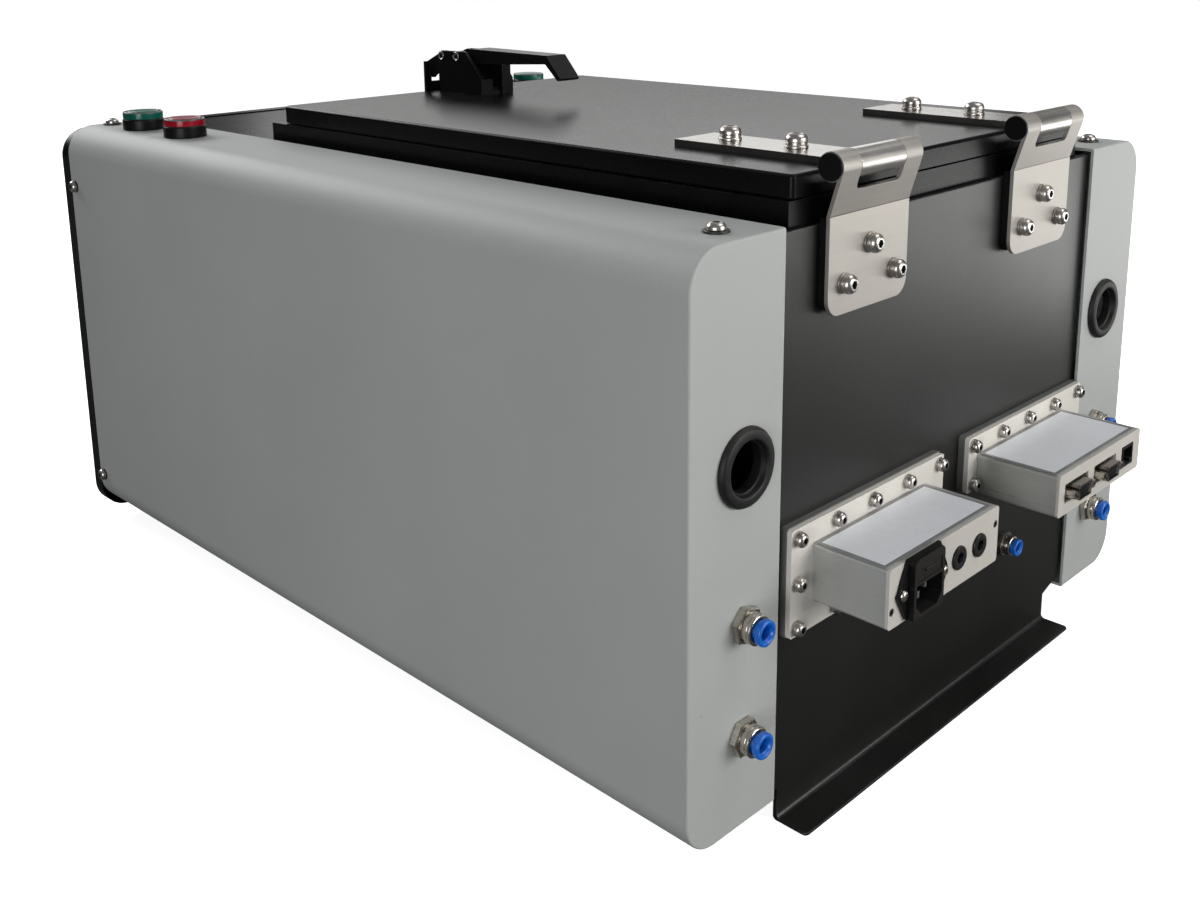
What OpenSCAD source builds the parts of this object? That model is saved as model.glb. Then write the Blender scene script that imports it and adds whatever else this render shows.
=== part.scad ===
// Bench-top shielded test chamber with a hinged lid, toggle latch,
// push buttons, tube fittings and filtered connector boxes.
// Units are millimetres. +Z is up, -Y is the front, +Y is the rear.

/* [Body] */
// outside width across both side covers
total_w = 491; // [400:1:600]
// width of the black body between the covers
body_w = 345; // [300:1:420]
// front panel face to rear panel face
body_depth = 675; // [520:1:800]
// thickness of the folded sheet
sheet = 2; // [1.5:0.5:3]
// height of the deck in front of the lid
deck_top = 339; // [280:1:420]
// depth of the front panel pan
front_pan = 13; // [8:1:20]
// lower edge of the front panel above the ground
front_gap = 11; // [8:1:20]

/* [Side covers] */
// underside of the side covers
cover_bottom = 19; // [15:1:40]
// height of the side covers above the deck
cover_step = 4; // [0:0.5:12]
// outer corner radius of the side covers
cover_r = 22; // [10:1:40]
// how far the rear faces of the covers stand out
cover_proud = 4; // [0:0.5:8]

/* [Chamber and lid] */
// deck left free on each side of the raised rim
rim_side = 12.5; // [2:0.5:40]
// distance from the rear panel to the front of the rim
rim_front = 490; // [300:1:560]
// height of the rim above the deck
rim_rise = 14; // [6:1:40]
// wall of the chamber
chamber_wall = 3; // [2:0.5:5]
// floor of the chamber above the ground
chamber_floor = 69; // [40:1:120]
// thickness of the foam lining
foam = 20; // [10:1:40]
// rim left free on each side of the lid
lid_side = 3; // [1:0.5:12]
// rim left free in front of the lid
lid_ledge = 13; // [10:1:20]
// thickness of the lid
lid_t = 13; // [8:1:25]
// foam hanging under the lid
lid_foam = 20; // [10:1:40]

/* [Hinges] */
// hinge centres in from the sides of the lid
hinge_in = 59.85; // [45:0.05:90]
// shift of both hinges to the right of the lid's middle
hinge_shift = 4.65; // [-10:0.05:10]
// width of the rear leaf
leaf_w = 75; // [40:1:90]
// thickness of the rear leaf
leaf_t = 2.5; // [1.5:0.5:4]
// thickness of the block behind the leaf
spacer_t = 4.5; // [2:0.5:12]
// lower edge of the rear leaf below the deck
leaf_drop = 50; // [30:1:80]
// bend of the rear leaf above the deck
bend_rise = 4.5; // [0:0.5:8]
// outward lean of the leaf above the bend, in degrees
leaf_lean = 17; // [0:1:30]
// diameter of the hinge barrel
barrel_d = 16; // [8:0.5:20]
// diameter of the hinge pin
hinge_pin_d = 8; // [4:0.5:10]
// length of the middle knuckle
knuckle_mid = 41.5; // [20:0.5:50]
// height of the hinge axis above the lid
axis_rise = 3; // [2:0.5:8]
// width of the lid strap
strap_w = 36.5; // [20:0.5:41]
// thickness of the lid strap
strap_t = 4; // [2:0.5:5]
// length of the lid strap in front of the rear panel
strap_reach = 117; // [90:1:160]

/* [Latch] */
// inside width between the latch ears
ear_gap = 27; // [20:1:40]
// thickness of the latch ears
ear_t = 3; // [2:0.5:5]
// width of the lever
lever_w = 20; // [14:1:24]
// thickness of the lever's sheet
lever_t = 2.5; // [1.5:0.5:4]
// diameter of the latch pins
latch_pin_d = 5; // [4:0.5:6]
// length of the lever behind its pivot
lever_reach = 113.7; // [80:0.1:160]
// lever pivot behind the front of the lid
lever_pivot_in = 34; // [24:1:60]
// distance between the lever pivot and the claw pivot
pivot_pitch = 19; // [12:1:22]
// height of both latch pivots above the lid
pivot_rise = 29.5; // [20:0.5:40]
// gap between the claw nose and the catch
claw_gap = 0.4; // [0.3:0.1:1]

/* [Buttons] */
// sideways place of the buttons from the middle of the cover
button_shift = -2; // [-6:0.5:6]
// first button behind the front face
button_in = 70; // [40:1:120]
// distance between the two buttons
button_pitch = 67; // [40:1:120]
// diameter of the bezel
bezel_d = 30; // [26:0.5:34]
// diameter of the cap
cap_d = 24; // [18:0.5:26]
// travel of the cap
cap_travel = 3; // [1:0.5:5]

/* [Cable grommets] */
// sideways place of the grommets from the middle of the cover
grommet_shift = -6; // [-10:0.5:6]
// height of the grommets
grommet_z = 225; // [180:1:280]
// outside diameter of the grommets
grommet_d = 43; // [30:1:60]
// cable hole in the grommets
grommet_bore = 27; // [15:1:40]

/* [Tube fittings] */
// sideways place of the cover fittings from the middle of the cover
fitting_shift = -7; // [-10:0.5:10]
// height of the upper cover fittings
fitting_z1 = 138.5; // [110:0.5:200]
// height of the lower cover fittings
fitting_z2 = 74; // [50:0.5:100]
// sideways place of the fitting on the rear panel
panel_fitting_x = -83; // [-140:1:140]
// height of the fitting on the rear panel
panel_fitting_z = 84; // [50:0.5:100]
// size of the rear panel's fitting against the cover fittings
panel_fitting_size = 0.8; // [0.6:0.05:1]
// hexagon across flats
fitting_hex = 19; // [14:1:24]
// diameter of the fitting body
fitting_d = 17; // [12:0.5:20]
// diameter of the release collet
collet_d = 14.5; // [10:0.5:16]
// tube hole
tube_d = 8.2; // [4:0.1:10]
// travel of the release collet
collet_travel = 1; // [0.5:0.1:2]

/* [Power box] */
// centre height of the power box plate
power_z = 146.6; // [120:0.1:180]
// width of both box plates
plate_w = 153.6; // [120:0.1:160]
// height of the power box plate
power_plate_h = 63; // [50:0.5:80]
// distance of the plate screws from the plate's edges
plate_edge = 5.5; // [5:0.1:8]
// width of the power housing
power_w = 114; // [90:1:125]
// height of the power housing
power_h = 34.5; // [25:0.5:45]
// how far the power housing stands out
power_reach = 55; // [30:1:90]
// sideways place of the mains inlet from the middle of its box
inlet_shift = 26.2; // [10:0.1:30]
// screw pitch of the mains inlet
inlet_pitch = 40; // [30:1:50]
// sideways place of the first low-voltage jack
jack_shift = -13; // [-20:0.5:-10]
// distance between the two low-voltage jacks
jack_pitch = 22; // [16:0.5:28]
// face diameter of the jacks
jack_d = 14; // [10:0.5:18]

/* [Data box] */
// centre height of the data box plate
data_z = 159.7; // [130:0.1:180]
// height of the data box plate
data_plate_h = 36.8; // [30:0.1:60]
// sideways place of the data housing on its plate
data_box_shift = 7.8; // [0:0.1:12]
// height of the plate's middle above the housing's middle
data_box_drop = 8; // [0:0.5:12]
// width of the data housing
data_w = 115; // [90:0.5:125]
// height of the data housing
data_h = 27.5; // [20:0.5:40]
// how far the data housing stands out
data_reach = 62; // [30:1:90]
// sideways place of the first nine-way connector on its box
dsub_shift = 33.8; // [20:0.1:40]
// distance between the nine-way connectors
dsub_pitch = 40; // [33:0.5:50]
// distance from the second connector to the network socket
rj_pitch = 32.5; // [25:0.5:35]

/* [Screws] */
// diameter of the screw heads
head_d = 9; // [6:0.5:12]
// height of the screw heads
head_h = 3.6; // [2:0.1:5]
// diameter of the washers under the heads
washer_d = 10.5; // [8:0.5:16]
// thickness of the washers
washer_t = 1.2; // [0.8:0.1:2]
// diameter of the threads
thread_d = 5; // [4:0.5:6]

/* [View] */
// which piece is drawn

/* [Hidden] */
$fn = 48;
fit = 0.1;
run = 0.05;
foot_t = 2;
foot_reach = 20.5;
plate_t = 3;
adapter_t = 4;
adapter_lip = 0.6;
dsub_out = 6;
lid_rear = 4;
rim_rear = 4;
lid_r = 3;
leaf_r = 10;
slot_gap = 5.3;
pin_cap_t = 1.2;
rim_lip = 17;
gasket_in = 7;
gasket_w = 7;
gasket_h = 2.8;
bracket_t = 2;
bracket_h = 26;
catch_w = 28;
claw_w = 34;
claw_t = 3;
bezel_h = 8;
bezel_rim = 1.2;
button_body_d = 22;
button_body_h = 34;
fitting_body_d = 15;
fitting_out = 10.8;
fitting_back = 22;
collet_stem_d = 11;
hole_d = thread_d + 0.2;
spring_t = 1.2;
pipe_hole_d = fitting_body_d + 0.2;
panel_hole_d = fitting_body_d * panel_fitting_size + 0.2;

// body
rear_reach = data_reach + dsub_out;
rear_y = (body_depth - rear_reach) / 2;
front_y = rear_y - body_depth;
pan_y = front_y + front_pan;
half_w = total_w / 2;
half_b = body_w / 2;
shell_x = half_b - 1.5;
foot_x0 = -half_b + 21.5;
foot_x1 = half_b - 8.2;

// covers and what they carry
cover_top = deck_top + cover_step;
cover_mid = (half_w + half_b) / 2;
face_y = rear_y + cover_proud;
button_x = cover_mid + button_shift;
button_y1 = body_depth - button_in;
button_y2 = button_y1 - button_pitch;
grommet_x = max(cover_mid + grommet_shift, half_b + grommet_d / 2 + 2);
fitting_x = cover_mid + fitting_shift;
bracket_x = half_w - cover_r - 1.5;
rear_screw = [bracket_x - 18, rear_y - 15];
front_screw = [bracket_x - 10, pan_y + 12];
side_screw_y = pan_y + 7;
side_screw_z = [cover_bottom + 27, cover_top - 47.5];

// rim and lid
rim_w = body_w - 2 * rim_side;
half_rim = rim_w / 2;
rim_top = deck_top + rim_rise;
rim_y0 = rear_y - rim_front;
rim_y1 = rear_y - rim_rear;
lid_w = rim_w - 2 * lid_side;
lid_front = rim_front - lid_ledge;
lid_low = rim_top + 0.5;
lid_top = lid_low + lid_t;

// hinges
barrel_r = barrel_d / 2;
hinge_x = lid_w / 2 - hinge_in;
leaf_low = deck_top - leaf_drop;
leaf_bend = deck_top + bend_rise;
leaf_face = spacer_t + leaf_t;
leaf_hole_top = leaf_low + 35.3;
leaf_hole_low = leaf_low + 17;
leaf_hole_dx = leaf_w / 2 - 14;
strap_holes = [strap_reach - 74, strap_reach - 27];
hinge_z = lid_top + axis_rise;
lean_run = (hinge_z - leaf_bend - barrel_r * sin(leaf_lean)) / cos(leaf_lean);
hinge_y = leaf_face + lean_run * sin(leaf_lean) - barrel_r * cos(leaf_lean);

// latch
lever_pivot_y = lid_front - lever_pivot_in;
claw_pivot_y = lever_pivot_y + pivot_pitch;
pivot_z = lid_top + pivot_rise;
cap_r = cap_d / 2;

// connector boxes
plate_spare = body_w - 2 * (plate_w + 2 * adapter_lip);
power_x = half_b - plate_w / 2 - adapter_lip - 0.17 * plate_spare;
data_x = -half_b + plate_w / 2 + adapter_lip + 0.01 * plate_spare;
plate_pitch = (plate_w - 2 * plate_edge) / 4;
power_row = power_plate_h / 2 - plate_edge;
data_row = data_plate_h / 2 - plate_edge;
power_mid = power_z + 1.3;
power_bottom = power_mid - power_h / 2;
inlet_x = power_x + inlet_shift;
jack_x1 = power_x + jack_shift;
jack_x2 = jack_x1 - jack_pitch;
inlet_out = 5.5;
inlet_low = -15.7;
inlet_high = 18.6;
drawer_w = 24.4;
drawer_low = 5.2;
drawer_high = 13.2;
end_screws = [[power_w / 2 - 3.2, -7.5], [3.3 - power_w / 2, 6.4]];
data_box_x = data_x + data_box_shift;
data_box_z = data_z - data_box_drop;
data_bottom = data_box_z - data_h / 2;
dsub_x1 = data_box_x + dsub_shift;
dsub_x2 = dsub_x1 - dsub_pitch;
rj_x = dsub_x2 - rj_pitch;

// ---------- shared shapes ----------

module bar(x0, x1, y0, y1, z0, z1) {
  translate([x0, y0, z0])
    cube([x1 - x0, y1 - y0, z1 - z0]);
}

module rod_x(x0, x1, y, z, d) {
  translate([x0, y, z])
    rotate([0, 90, 0])
      cylinder(d = d, h = x1 - x0);
}

module rod_y(x, y0, y1, z, d) {
  translate([x, y1, z])
    rotate([90, 0, 0])
      cylinder(d = d, h = y1 - y0);
}

module rod_z(x, y, z0, z1, d) {
  translate([x, y, z0])
    cylinder(d = d, h = z1 - z0);
}

// flat shape in X and Z pushed along Y
module prism_y(y0, y1) {
  translate([0, y1, 0])
    rotate([90, 0, 0])
      linear_extrude(y1 - y0)
        children();
}

// flat shape in Y and Z pushed along X
module prism_x(x0, x1) {
  translate([x0, 0, 0])
    rotate([90, 0, 90])
      linear_extrude(x1 - x0)
        children();
}

module round_rect(w, h, r) {
  square([w - 2 * r, h], center = true);
  square([w, h - 2 * r], center = true);
  for (sx = [-1, 1])
    for (sy = [-1, 1])
      translate([sx * (w / 2 - r), sy * (h / 2 - r)])
        circle(r);
}

// round head with a hexagon socket, spring washer and flat washer
module screw(reach, washer = washer_d, spring = spring_t) {
  difference() {
    union() {
      cylinder(d = washer, h = washer_t, $fn = 32);
      cylinder(d = head_d - 0.8, h = washer_t + spring, $fn = 32);
      translate([0, 0, washer_t + spring])
        cylinder(d = head_d, h = head_h, $fn = 32);
    }
    translate([0, 0, washer_t + spring + 1])
      cylinder(d = 4.2, h = head_h, $fn = 6);
  }
  translate([0, 0, -reach])
    cylinder(d = thread_d, h = reach + 1, $fn = 24);
}

module screw_rear(x, y, z, reach) {
  translate([x, y, z])
    rotate([-90, 0, 0])
      screw(reach);
}

// ---------- black body ----------

module pan_outline(inset) {
  translate([0, (front_gap + deck_top + 1) / 2])
    round_rect(total_w - 2 * inset, deck_top + 1 - front_gap - 2 * inset,
      cover_r - inset);
}

module front_panel() {
  color([0.06, 0.06, 0.065]) {
    difference() {
      prism_y(front_y, pan_y)
        pan_outline(0);
      prism_y(front_y + sheet, pan_y + 1)
        pan_outline(sheet);
    }
    difference() {
      for (s = [-1, 1])
        bar(s * (half_w - sheet - 1) - 1, s * (half_w - sheet - 1) + 1,
          front_y + sheet, pan_y + 16, cover_bottom + cover_r + 2,
          cover_top - cover_r);
      for (z = side_screw_z)
        rod_x(-half_w, half_w, side_screw_y, z, hole_d);
    }
  }
}

module body_shell() {
  color([0.06, 0.06, 0.065])
    difference() {
      bar(-shell_x, shell_x, pan_y, rear_y - 3, cover_bottom + 2, deck_top);
      bar(-shell_x + sheet, shell_x - sheet, pan_y - 1, rear_y - 2,
        cover_bottom + 2 + sheet, deck_top - sheet);
      bar(-half_rim, half_rim, rim_y0, rim_y1, deck_top - 10, deck_top + 1);
    }
}

module panel_outline() {
  polygon([[foot_x0, 0], [foot_x1, 0], [foot_x1, cover_bottom + 1],
    [shell_x, cover_bottom + 4], [shell_x, deck_top],
    [-shell_x, deck_top], [-shell_x, cover_bottom + 7],
    [foot_x0, cover_bottom + 1]]);
}

module rear_panel() {
  color([0.06, 0.06, 0.065])
    difference() {
      union() {
        prism_y(rear_y - 3, rear_y)
          panel_outline();
        bar(foot_x0, foot_x1, rear_y - 1, rear_y + foot_reach, 0, foot_t);
      }
      rod_y(panel_fitting_x, rear_y - 4, rear_y + 1, panel_fitting_z,
        panel_hole_d);
    }
}

module front_foot() {
  color([0.06, 0.06, 0.065]) {
    y = pan_y + foot_reach;
    bar(foot_x0, foot_x1, y, y + foot_t, 0, cover_bottom + 2);
    bar(foot_x0, foot_x1, y - foot_reach + 2, y + 1, 0, foot_t);
    bar(foot_x0, foot_x1, y + 2, y + foot_reach + 1,
      cover_bottom + 2 - foot_t, cover_bottom + 2);
  }
}

// ---------- chamber ----------

module gasket_ring(z0, z1) {
  a = gasket_in;
  b = gasket_in + gasket_w;
  front = lid_ledge - 1;
  difference() {
    bar(-half_rim + a, half_rim - a, rim_y0 + a + front, rim_y1 - a, z0, z1);
    bar(-half_rim + b, half_rim - b, rim_y0 + b + front, rim_y1 - b,
      z0 - 1, z1 + 1);
  }
}

module chamber() {
  w = chamber_wall;
  lip = rim_lip;
  color([0.05, 0.05, 0.055])
    difference() {
      union() {
        bar(-half_rim, half_rim, rim_y0, rim_y1, chamber_floor, rim_top);
        bar(-half_rim - 8, half_rim + 8, rim_y0 - 8, rim_y1,
          deck_top - sheet - 2, deck_top - sheet);
      }
      bar(-half_rim + w, half_rim - w, rim_y0 + w, rim_y1 - w,
        chamber_floor + w, rim_top - 6);
      bar(-half_rim + lip, half_rim - lip, rim_y0 + lip + 4, rim_y1 - lip,
        chamber_floor + w, rim_top + 1);
      gasket_ring(rim_top - gasket_h, rim_top + 1);
      rod_y(panel_fitting_x, rim_y1 - 5, rim_y1 + 1, panel_fitting_z,
        panel_hole_d);
    }
}

module rim_gasket() {
  color([0.55, 0.55, 0.56])
    gasket_ring(rim_top - gasket_h, rim_top + 0.4);
}

foam_x = half_rim - chamber_wall;
foam_y0 = rim_y0 + chamber_wall;
foam_y1 = rim_y1 - chamber_wall;
foam_z0 = chamber_floor + chamber_wall;
foam_z1 = rim_top - 6;

module chamber_foam_floor() {
  color([0.12, 0.12, 0.13])
    bar(-foam_x, foam_x, foam_y0, foam_y1, foam_z0, foam_z0 + foam);
}

module chamber_foam_front() {
  color([0.12, 0.12, 0.13])
    bar(-foam_x, foam_x, foam_y0, foam_y0 + foam, foam_z0 + foam, foam_z1);
}

module chamber_foam_rear() {
  color([0.12, 0.12, 0.13])
    bar(-foam_x, foam_x, foam_y1 - foam, foam_y1, foam_z0 + foam, foam_z1);
}

module foam_side(s) {
  x = s * (foam_x - foam / 2);
  color([0.12, 0.12, 0.13])
    bar(x - foam / 2, x + foam / 2, foam_y0 + foam, foam_y1 - foam,
      foam_z0 + foam, foam_z1);
}

module chamber_foam_right() {
  foam_side(1);
}

module chamber_foam_left() {
  foam_side(-1);
}

// ---------- side covers ----------

module cover_outline(inset, inner) {
  translate([half_w - cover_r, cover_top - cover_r])
    circle(cover_r - inset);
  translate([half_w - cover_r, cover_bottom + cover_r])
    circle(cover_r - inset);
  translate([inner, cover_bottom + inset])
    square([half_w - cover_r - inner,
      cover_top - cover_bottom - 2 * inset]);
  translate([inner, cover_bottom + cover_r])
    square([half_w - inset - inner,
      cover_top - cover_bottom - 2 * cover_r]);
}

module cover_holes(buttons) {
  rod_y(grommet_x, face_y - 5, face_y + 1, grommet_z, grommet_d - 9);
  for (z = [fitting_z1, fitting_z2])
    rod_y(fitting_x, face_y - 5, face_y + 1, z, pipe_hole_d);
  for (y = buttons)
    rod_z(button_x, rear_y - y, cover_top - 5, cover_top + 1,
      button_body_d);
  for (p = [rear_screw, front_screw])
    rod_z(p[0], p[1], cover_top - 5, cover_top + 1, hole_d);
  for (z = side_screw_z)
    rod_x(half_w - 5, half_w + 1, side_screw_y, z, hole_d);
}

module side_cover(buttons) {
  color([0.72, 0.74, 0.73])
    difference() {
      prism_y(pan_y, face_y)
        cover_outline(0, half_b);
      prism_y(pan_y - 1, face_y - sheet)
        cover_outline(sheet, half_b - 1);
      cover_holes(buttons);
    }
}

module right_cover() {
  side_cover([button_y1, button_y2]);
}

module left_cover() {
  mirror([1, 0, 0])
    side_cover([button_y1]);
}

module cover_bracket(y0, y1) {
  top = cover_top - sheet;
  bar(shell_x, shell_x + bracket_t, y0, y1, top - bracket_h + sheet, top);
  bar(shell_x, bracket_x, y0, y1, top - bracket_t, top);
}

module cover_brackets() {
  color([0.06, 0.06, 0.065])
    for (s = [0, 1])
      mirror([s, 0, 0])
        difference() {
          union() {
            cover_bracket(rear_y - 30, rear_y - 6);
            cover_bracket(pan_y + 1, pan_y + 24);
          }
          for (p = [rear_screw, front_screw])
            rod_z(p[0], p[1], cover_top - 14, cover_top, hole_d);
        }
}

module cover_screws() {
  color([0.7, 0.7, 0.7])
    for (s = [0, 1])
      mirror([s, 0, 0]) {
        for (p = [rear_screw, front_screw])
          translate([p[0], p[1], cover_top])
            screw(8, 14, 0);
        for (z = side_screw_z)
          translate([half_w, side_screw_y, z])
            rotate([0, 90, 0])
              screw(8, washer_d, 0);
      }
}

// ---------- lid ----------

module lid_block(inset, z0, z1) {
  translate([0, rear_y - (lid_front + lid_rear) / 2, z0])
    linear_extrude(z1 - z0)
      round_rect(lid_w - 2 * inset, lid_front - lid_rear - 2 * inset,
        lid_r - inset);
}

module lid() {
  color([0.06, 0.06, 0.065])
    difference() {
      lid_block(0, lid_low, lid_top);
      lid_block(sheet, lid_low - 1, lid_top - sheet);
      for (s = [-1, 1])
        for (y = strap_holes)
          rod_z(hinge_at(s), rear_y - y, lid_low, lid_top + 1, hole_d);
    }
}

module lid_liner() {
  color([0.62, 0.62, 0.63])
    lid_block(sheet, lid_low, lid_low + 2);
}

module lid_foam_pad() {
  color([0.12, 0.12, 0.13])
    bar(-foam_x + foam + 3, foam_x - foam - 3, foam_y0 + foam + 6,
      foam_y1 - foam - 6, lid_low - lid_foam, lid_low);
}

// ---------- hinges ----------

function hinge_at(s) = hinge_shift + s * hinge_x;

module hinge_spacers() {
  color([0.05, 0.05, 0.055])
    for (s = [-1, 1])
      difference() {
        translate([hinge_at(s), 0, 0])
          prism_y(rear_y, rear_y + spacer_t)
            leaf_flat(1.5);
        leaf_holes(hinge_at(s), rear_y - 1, rear_y + spacer_t + 1);
      }
}

module leaf_holes(x, y0, y1) {
  rod_y(x, y0, y1, leaf_hole_top, hole_d);
  for (s = [-1, 1])
    rod_y(x + s * leaf_hole_dx, y0, y1, leaf_hole_low, hole_d);
}

module leaf_flat(inset) {
  w = leaf_w - 2 * inset;
  h = leaf_bend - leaf_low - 2 * inset;
  r = leaf_r - inset;
  translate([0, leaf_low + inset]) {
    translate([-w / 2 + r, 0])
      square([w - 2 * r, h]);
    translate([-w / 2, r])
      square([w, h - r]);
    for (s = [-1, 1])
      translate([s * (w / 2 - r), r])
        circle(r);
  }
}

module rear_leaf(x) {
  color([0.78, 0.78, 0.76])
    translate([x, 0, 0])
      difference() {
        union() {
          prism_y(rear_y + spacer_t, rear_y + leaf_face)
            leaf_flat(0);
          prism_x(-leaf_w / 2, leaf_w / 2)
            polygon([[rear_y + leaf_face, leaf_bend - 0.5],
              [rear_y + leaf_face, leaf_bend],
              [rear_y + hinge_y + barrel_r * cos(leaf_lean),
                hinge_z - barrel_r * sin(leaf_lean)],
              [rear_y + hinge_y + (barrel_r - leaf_t) * cos(leaf_lean),
                hinge_z - (barrel_r - leaf_t) * sin(leaf_lean)],
              [rear_y + spacer_t, leaf_bend],
              [rear_y + spacer_t, leaf_bend - 0.5]]);
          rod_x(-leaf_w / 2, leaf_w / 2, rear_y + hinge_y, hinge_z,
            barrel_d);
        }
        bar(-knuckle_mid / 2 - 0.3, knuckle_mid / 2 + 0.3,
          rear_y + hinge_y - barrel_r - 1, rear_y + 40,
          hinge_z - barrel_r - slot_gap, hinge_z + barrel_r + 1);
        rod_x(-leaf_w / 2 - 1, leaf_w / 2 + 1, rear_y + hinge_y, hinge_z,
          hinge_pin_d + 2 * run);
        leaf_holes(0, rear_y, rear_y + 20);
      }
}

module rear_leaf_right() {
  rear_leaf(hinge_at(1));
}

module rear_leaf_left() {
  rear_leaf(hinge_at(-1));
}

module lid_strap(x) {
  color([0.78, 0.78, 0.76])
    translate([x, 0, 0])
      difference() {
        union() {
          bar(-strap_w / 2, strap_w / 2, rear_y - strap_reach,
            rear_y + hinge_y, lid_top, lid_top + strap_t);
          rod_x(-knuckle_mid / 2, knuckle_mid / 2, rear_y + hinge_y,
            hinge_z, barrel_d);
        }
        rod_x(-knuckle_mid, knuckle_mid, rear_y + hinge_y, hinge_z,
          hinge_pin_d + 2 * run);
        for (y = strap_holes)
          rod_z(0, rear_y - y, lid_top - 1, lid_top + strap_t + 1, hole_d);
      }
}

module lid_strap_right() {
  lid_strap(hinge_at(1));
}

module lid_strap_left() {
  lid_strap(hinge_at(-1));
}

module hinge_pins() {
  color([0.7, 0.7, 0.7])
    for (s = [-1, 1])
      translate([hinge_at(s), rear_y + hinge_y, hinge_z]) {
        rod_x(-leaf_w / 2 - 0.5, leaf_w / 2 + 0.5, 0, 0, hinge_pin_d);
        for (x = [-leaf_w / 2 - pin_cap_t, leaf_w / 2])
          rod_x(x, x + pin_cap_t, 0, 0, barrel_d - 1);
      }
}

module rear_leaf_screws() {
  color([0.75, 0.75, 0.75])
    for (s = [-1, 1]) {
      screw_rear(hinge_at(s), rear_y + leaf_face, leaf_hole_top, leaf_face);
      for (t = [-1, 1])
        screw_rear(hinge_at(s) + t * leaf_hole_dx, rear_y + leaf_face,
          leaf_hole_low, leaf_face);
    }
}

module strap_screws() {
  color([0.75, 0.75, 0.75])
    for (s = [-1, 1])
      for (y = strap_holes)
        translate([hinge_at(s), rear_y - y, lid_top + strap_t])
          screw(strap_t + 6);
}

// ---------- latch ----------

// flat shape in the latch's plane, drawn from one of its pivots
module at_pivot(y, x0, x1) {
  translate([0, rear_y - y, pivot_z])
    prism_x(x0, x1)
      children();
}

ear_front = pivot_pitch + 4;
ear_rear = 30.3;
ear_back = rear_y - lever_pivot_y + ear_rear;
ear_flange = 8.5;
post_x = -12;
post_w = 9;

module ear_outline() {
  low = lid_top + 1 - pivot_z;
  polygon([[-ear_front, low], [-ear_front, -1], [-ear_front + 3, 4],
    [ear_rear - 20, 4], [ear_rear, -17], [ear_rear, low]]);
}

module latch_bracket() {
  e = ear_gap / 2;
  color([0.05, 0.05, 0.055])
    difference() {
      union() {
        bar(-e - ear_t, e + ear_t, rear_y - lever_pivot_y - ear_front,
          ear_back, lid_top, lid_top + 3);
        for (x = [-e - ear_t, e])
          at_pivot(lever_pivot_y, x, x + ear_t)
            ear_outline();
        for (x = [-e, e - ear_flange])
          bar(x, x + ear_flange, ear_back - ear_t, ear_back, lid_top,
            pivot_z - 17);
        bar(post_x, post_x + post_w, ear_back - 3.5, ear_back + 2.5,
          lid_top, pivot_z - 6);
      }
      for (y = [lever_pivot_y, claw_pivot_y])
        rod_x(-40, 40, rear_y - y, pivot_z, latch_pin_d + fit);
    }
}

module latch_pins() {
  e = ear_gap / 2 + ear_t;
  color([0.2, 0.2, 0.2])
    for (y = [lever_pivot_y, claw_pivot_y]) {
      rod_x(-e, e, rear_y - y, pivot_z, latch_pin_d);
      for (x = [-e - 1.2, e])
        rod_x(x, x + 1.2, rear_y - y, pivot_z, latch_pin_d + 2.4);
    }
}

module lever_outline() {
  tip = lever_reach;
  polygon([[-12, -5], [-12, 2], [10, 6], [tip - 15, 4.8],
    [tip, -11.8], [tip - 1.2, -13.6], [tip - 3.2, -13.6],
    [tip - 16.3, -1.8], [tip - 61.7, -4.2], [16, -5.5], [8, -10],
    [-7, -10]]);
}

module lever_inside() {
  tip = lever_reach;
  polygon([[-22, -20], [-22, -1], [-12, -0.5], [10, 3.5],
    [tip - 16.5, 2.4], [tip - 0.7, -15.2], [tip - 0.7, -20]]);
}

module latch_lever() {
  h = lever_w / 2;
  color([0.05, 0.05, 0.055])
    difference() {
      at_pivot(lever_pivot_y, -h, h)
        lever_outline();
      at_pivot(lever_pivot_y, -h + lever_t, h - lever_t)
        lever_inside();
      rod_x(-40, 40, rear_y - lever_pivot_y, pivot_z,
        latch_pin_d + 2 * run);
    }
}

claw_reach = 24;

module claw_arm() {
  polygon([[-claw_reach, -19], [-claw_reach, -6], [-4, 3], [0, 4],
    [4, 3], [5, -1], [2, -6], [8 - claw_reach, -19]]);
}

claw_y0 = rear_y - claw_pivot_y - claw_reach;
claw_y1 = claw_y0 + claw_t;
claw_in = ear_gap / 2 - 1.5;

module latch_claw() {
  color([0.05, 0.05, 0.055])
    difference() {
      union() {
        bar(-claw_w / 2, claw_w / 2, claw_y0, claw_y1, rim_top + 1.5,
          pivot_z - 6);
        for (x = [-claw_in - 1, claw_in - 1])
          at_pivot(claw_pivot_y, x, x + 2)
            claw_arm();
      }
      for (x = [-11.3, 1.3])
        bar(x, x + 10, claw_y0 - 1, claw_y1 + 1, pivot_z - 22.5,
          pivot_z - 15.7);
      rod_x(-40, 40, rear_y - claw_pivot_y, pivot_z,
        latch_pin_d + 2 * run);
    }
}

module latch_catch() {
  color([0.6, 0.6, 0.6])
    bar(-catch_w / 2, catch_w / 2, claw_y1 + claw_gap, claw_y1 + 5, rim_top,
      rim_top + 9);
}

// ---------- push buttons ----------

module at_buttons() {
  for (p = [[button_x, button_y1], [button_x, button_y2],
    [-button_x, button_y1]])
    translate([p[0], rear_y - p[1], cover_top])
      children();
}

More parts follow.
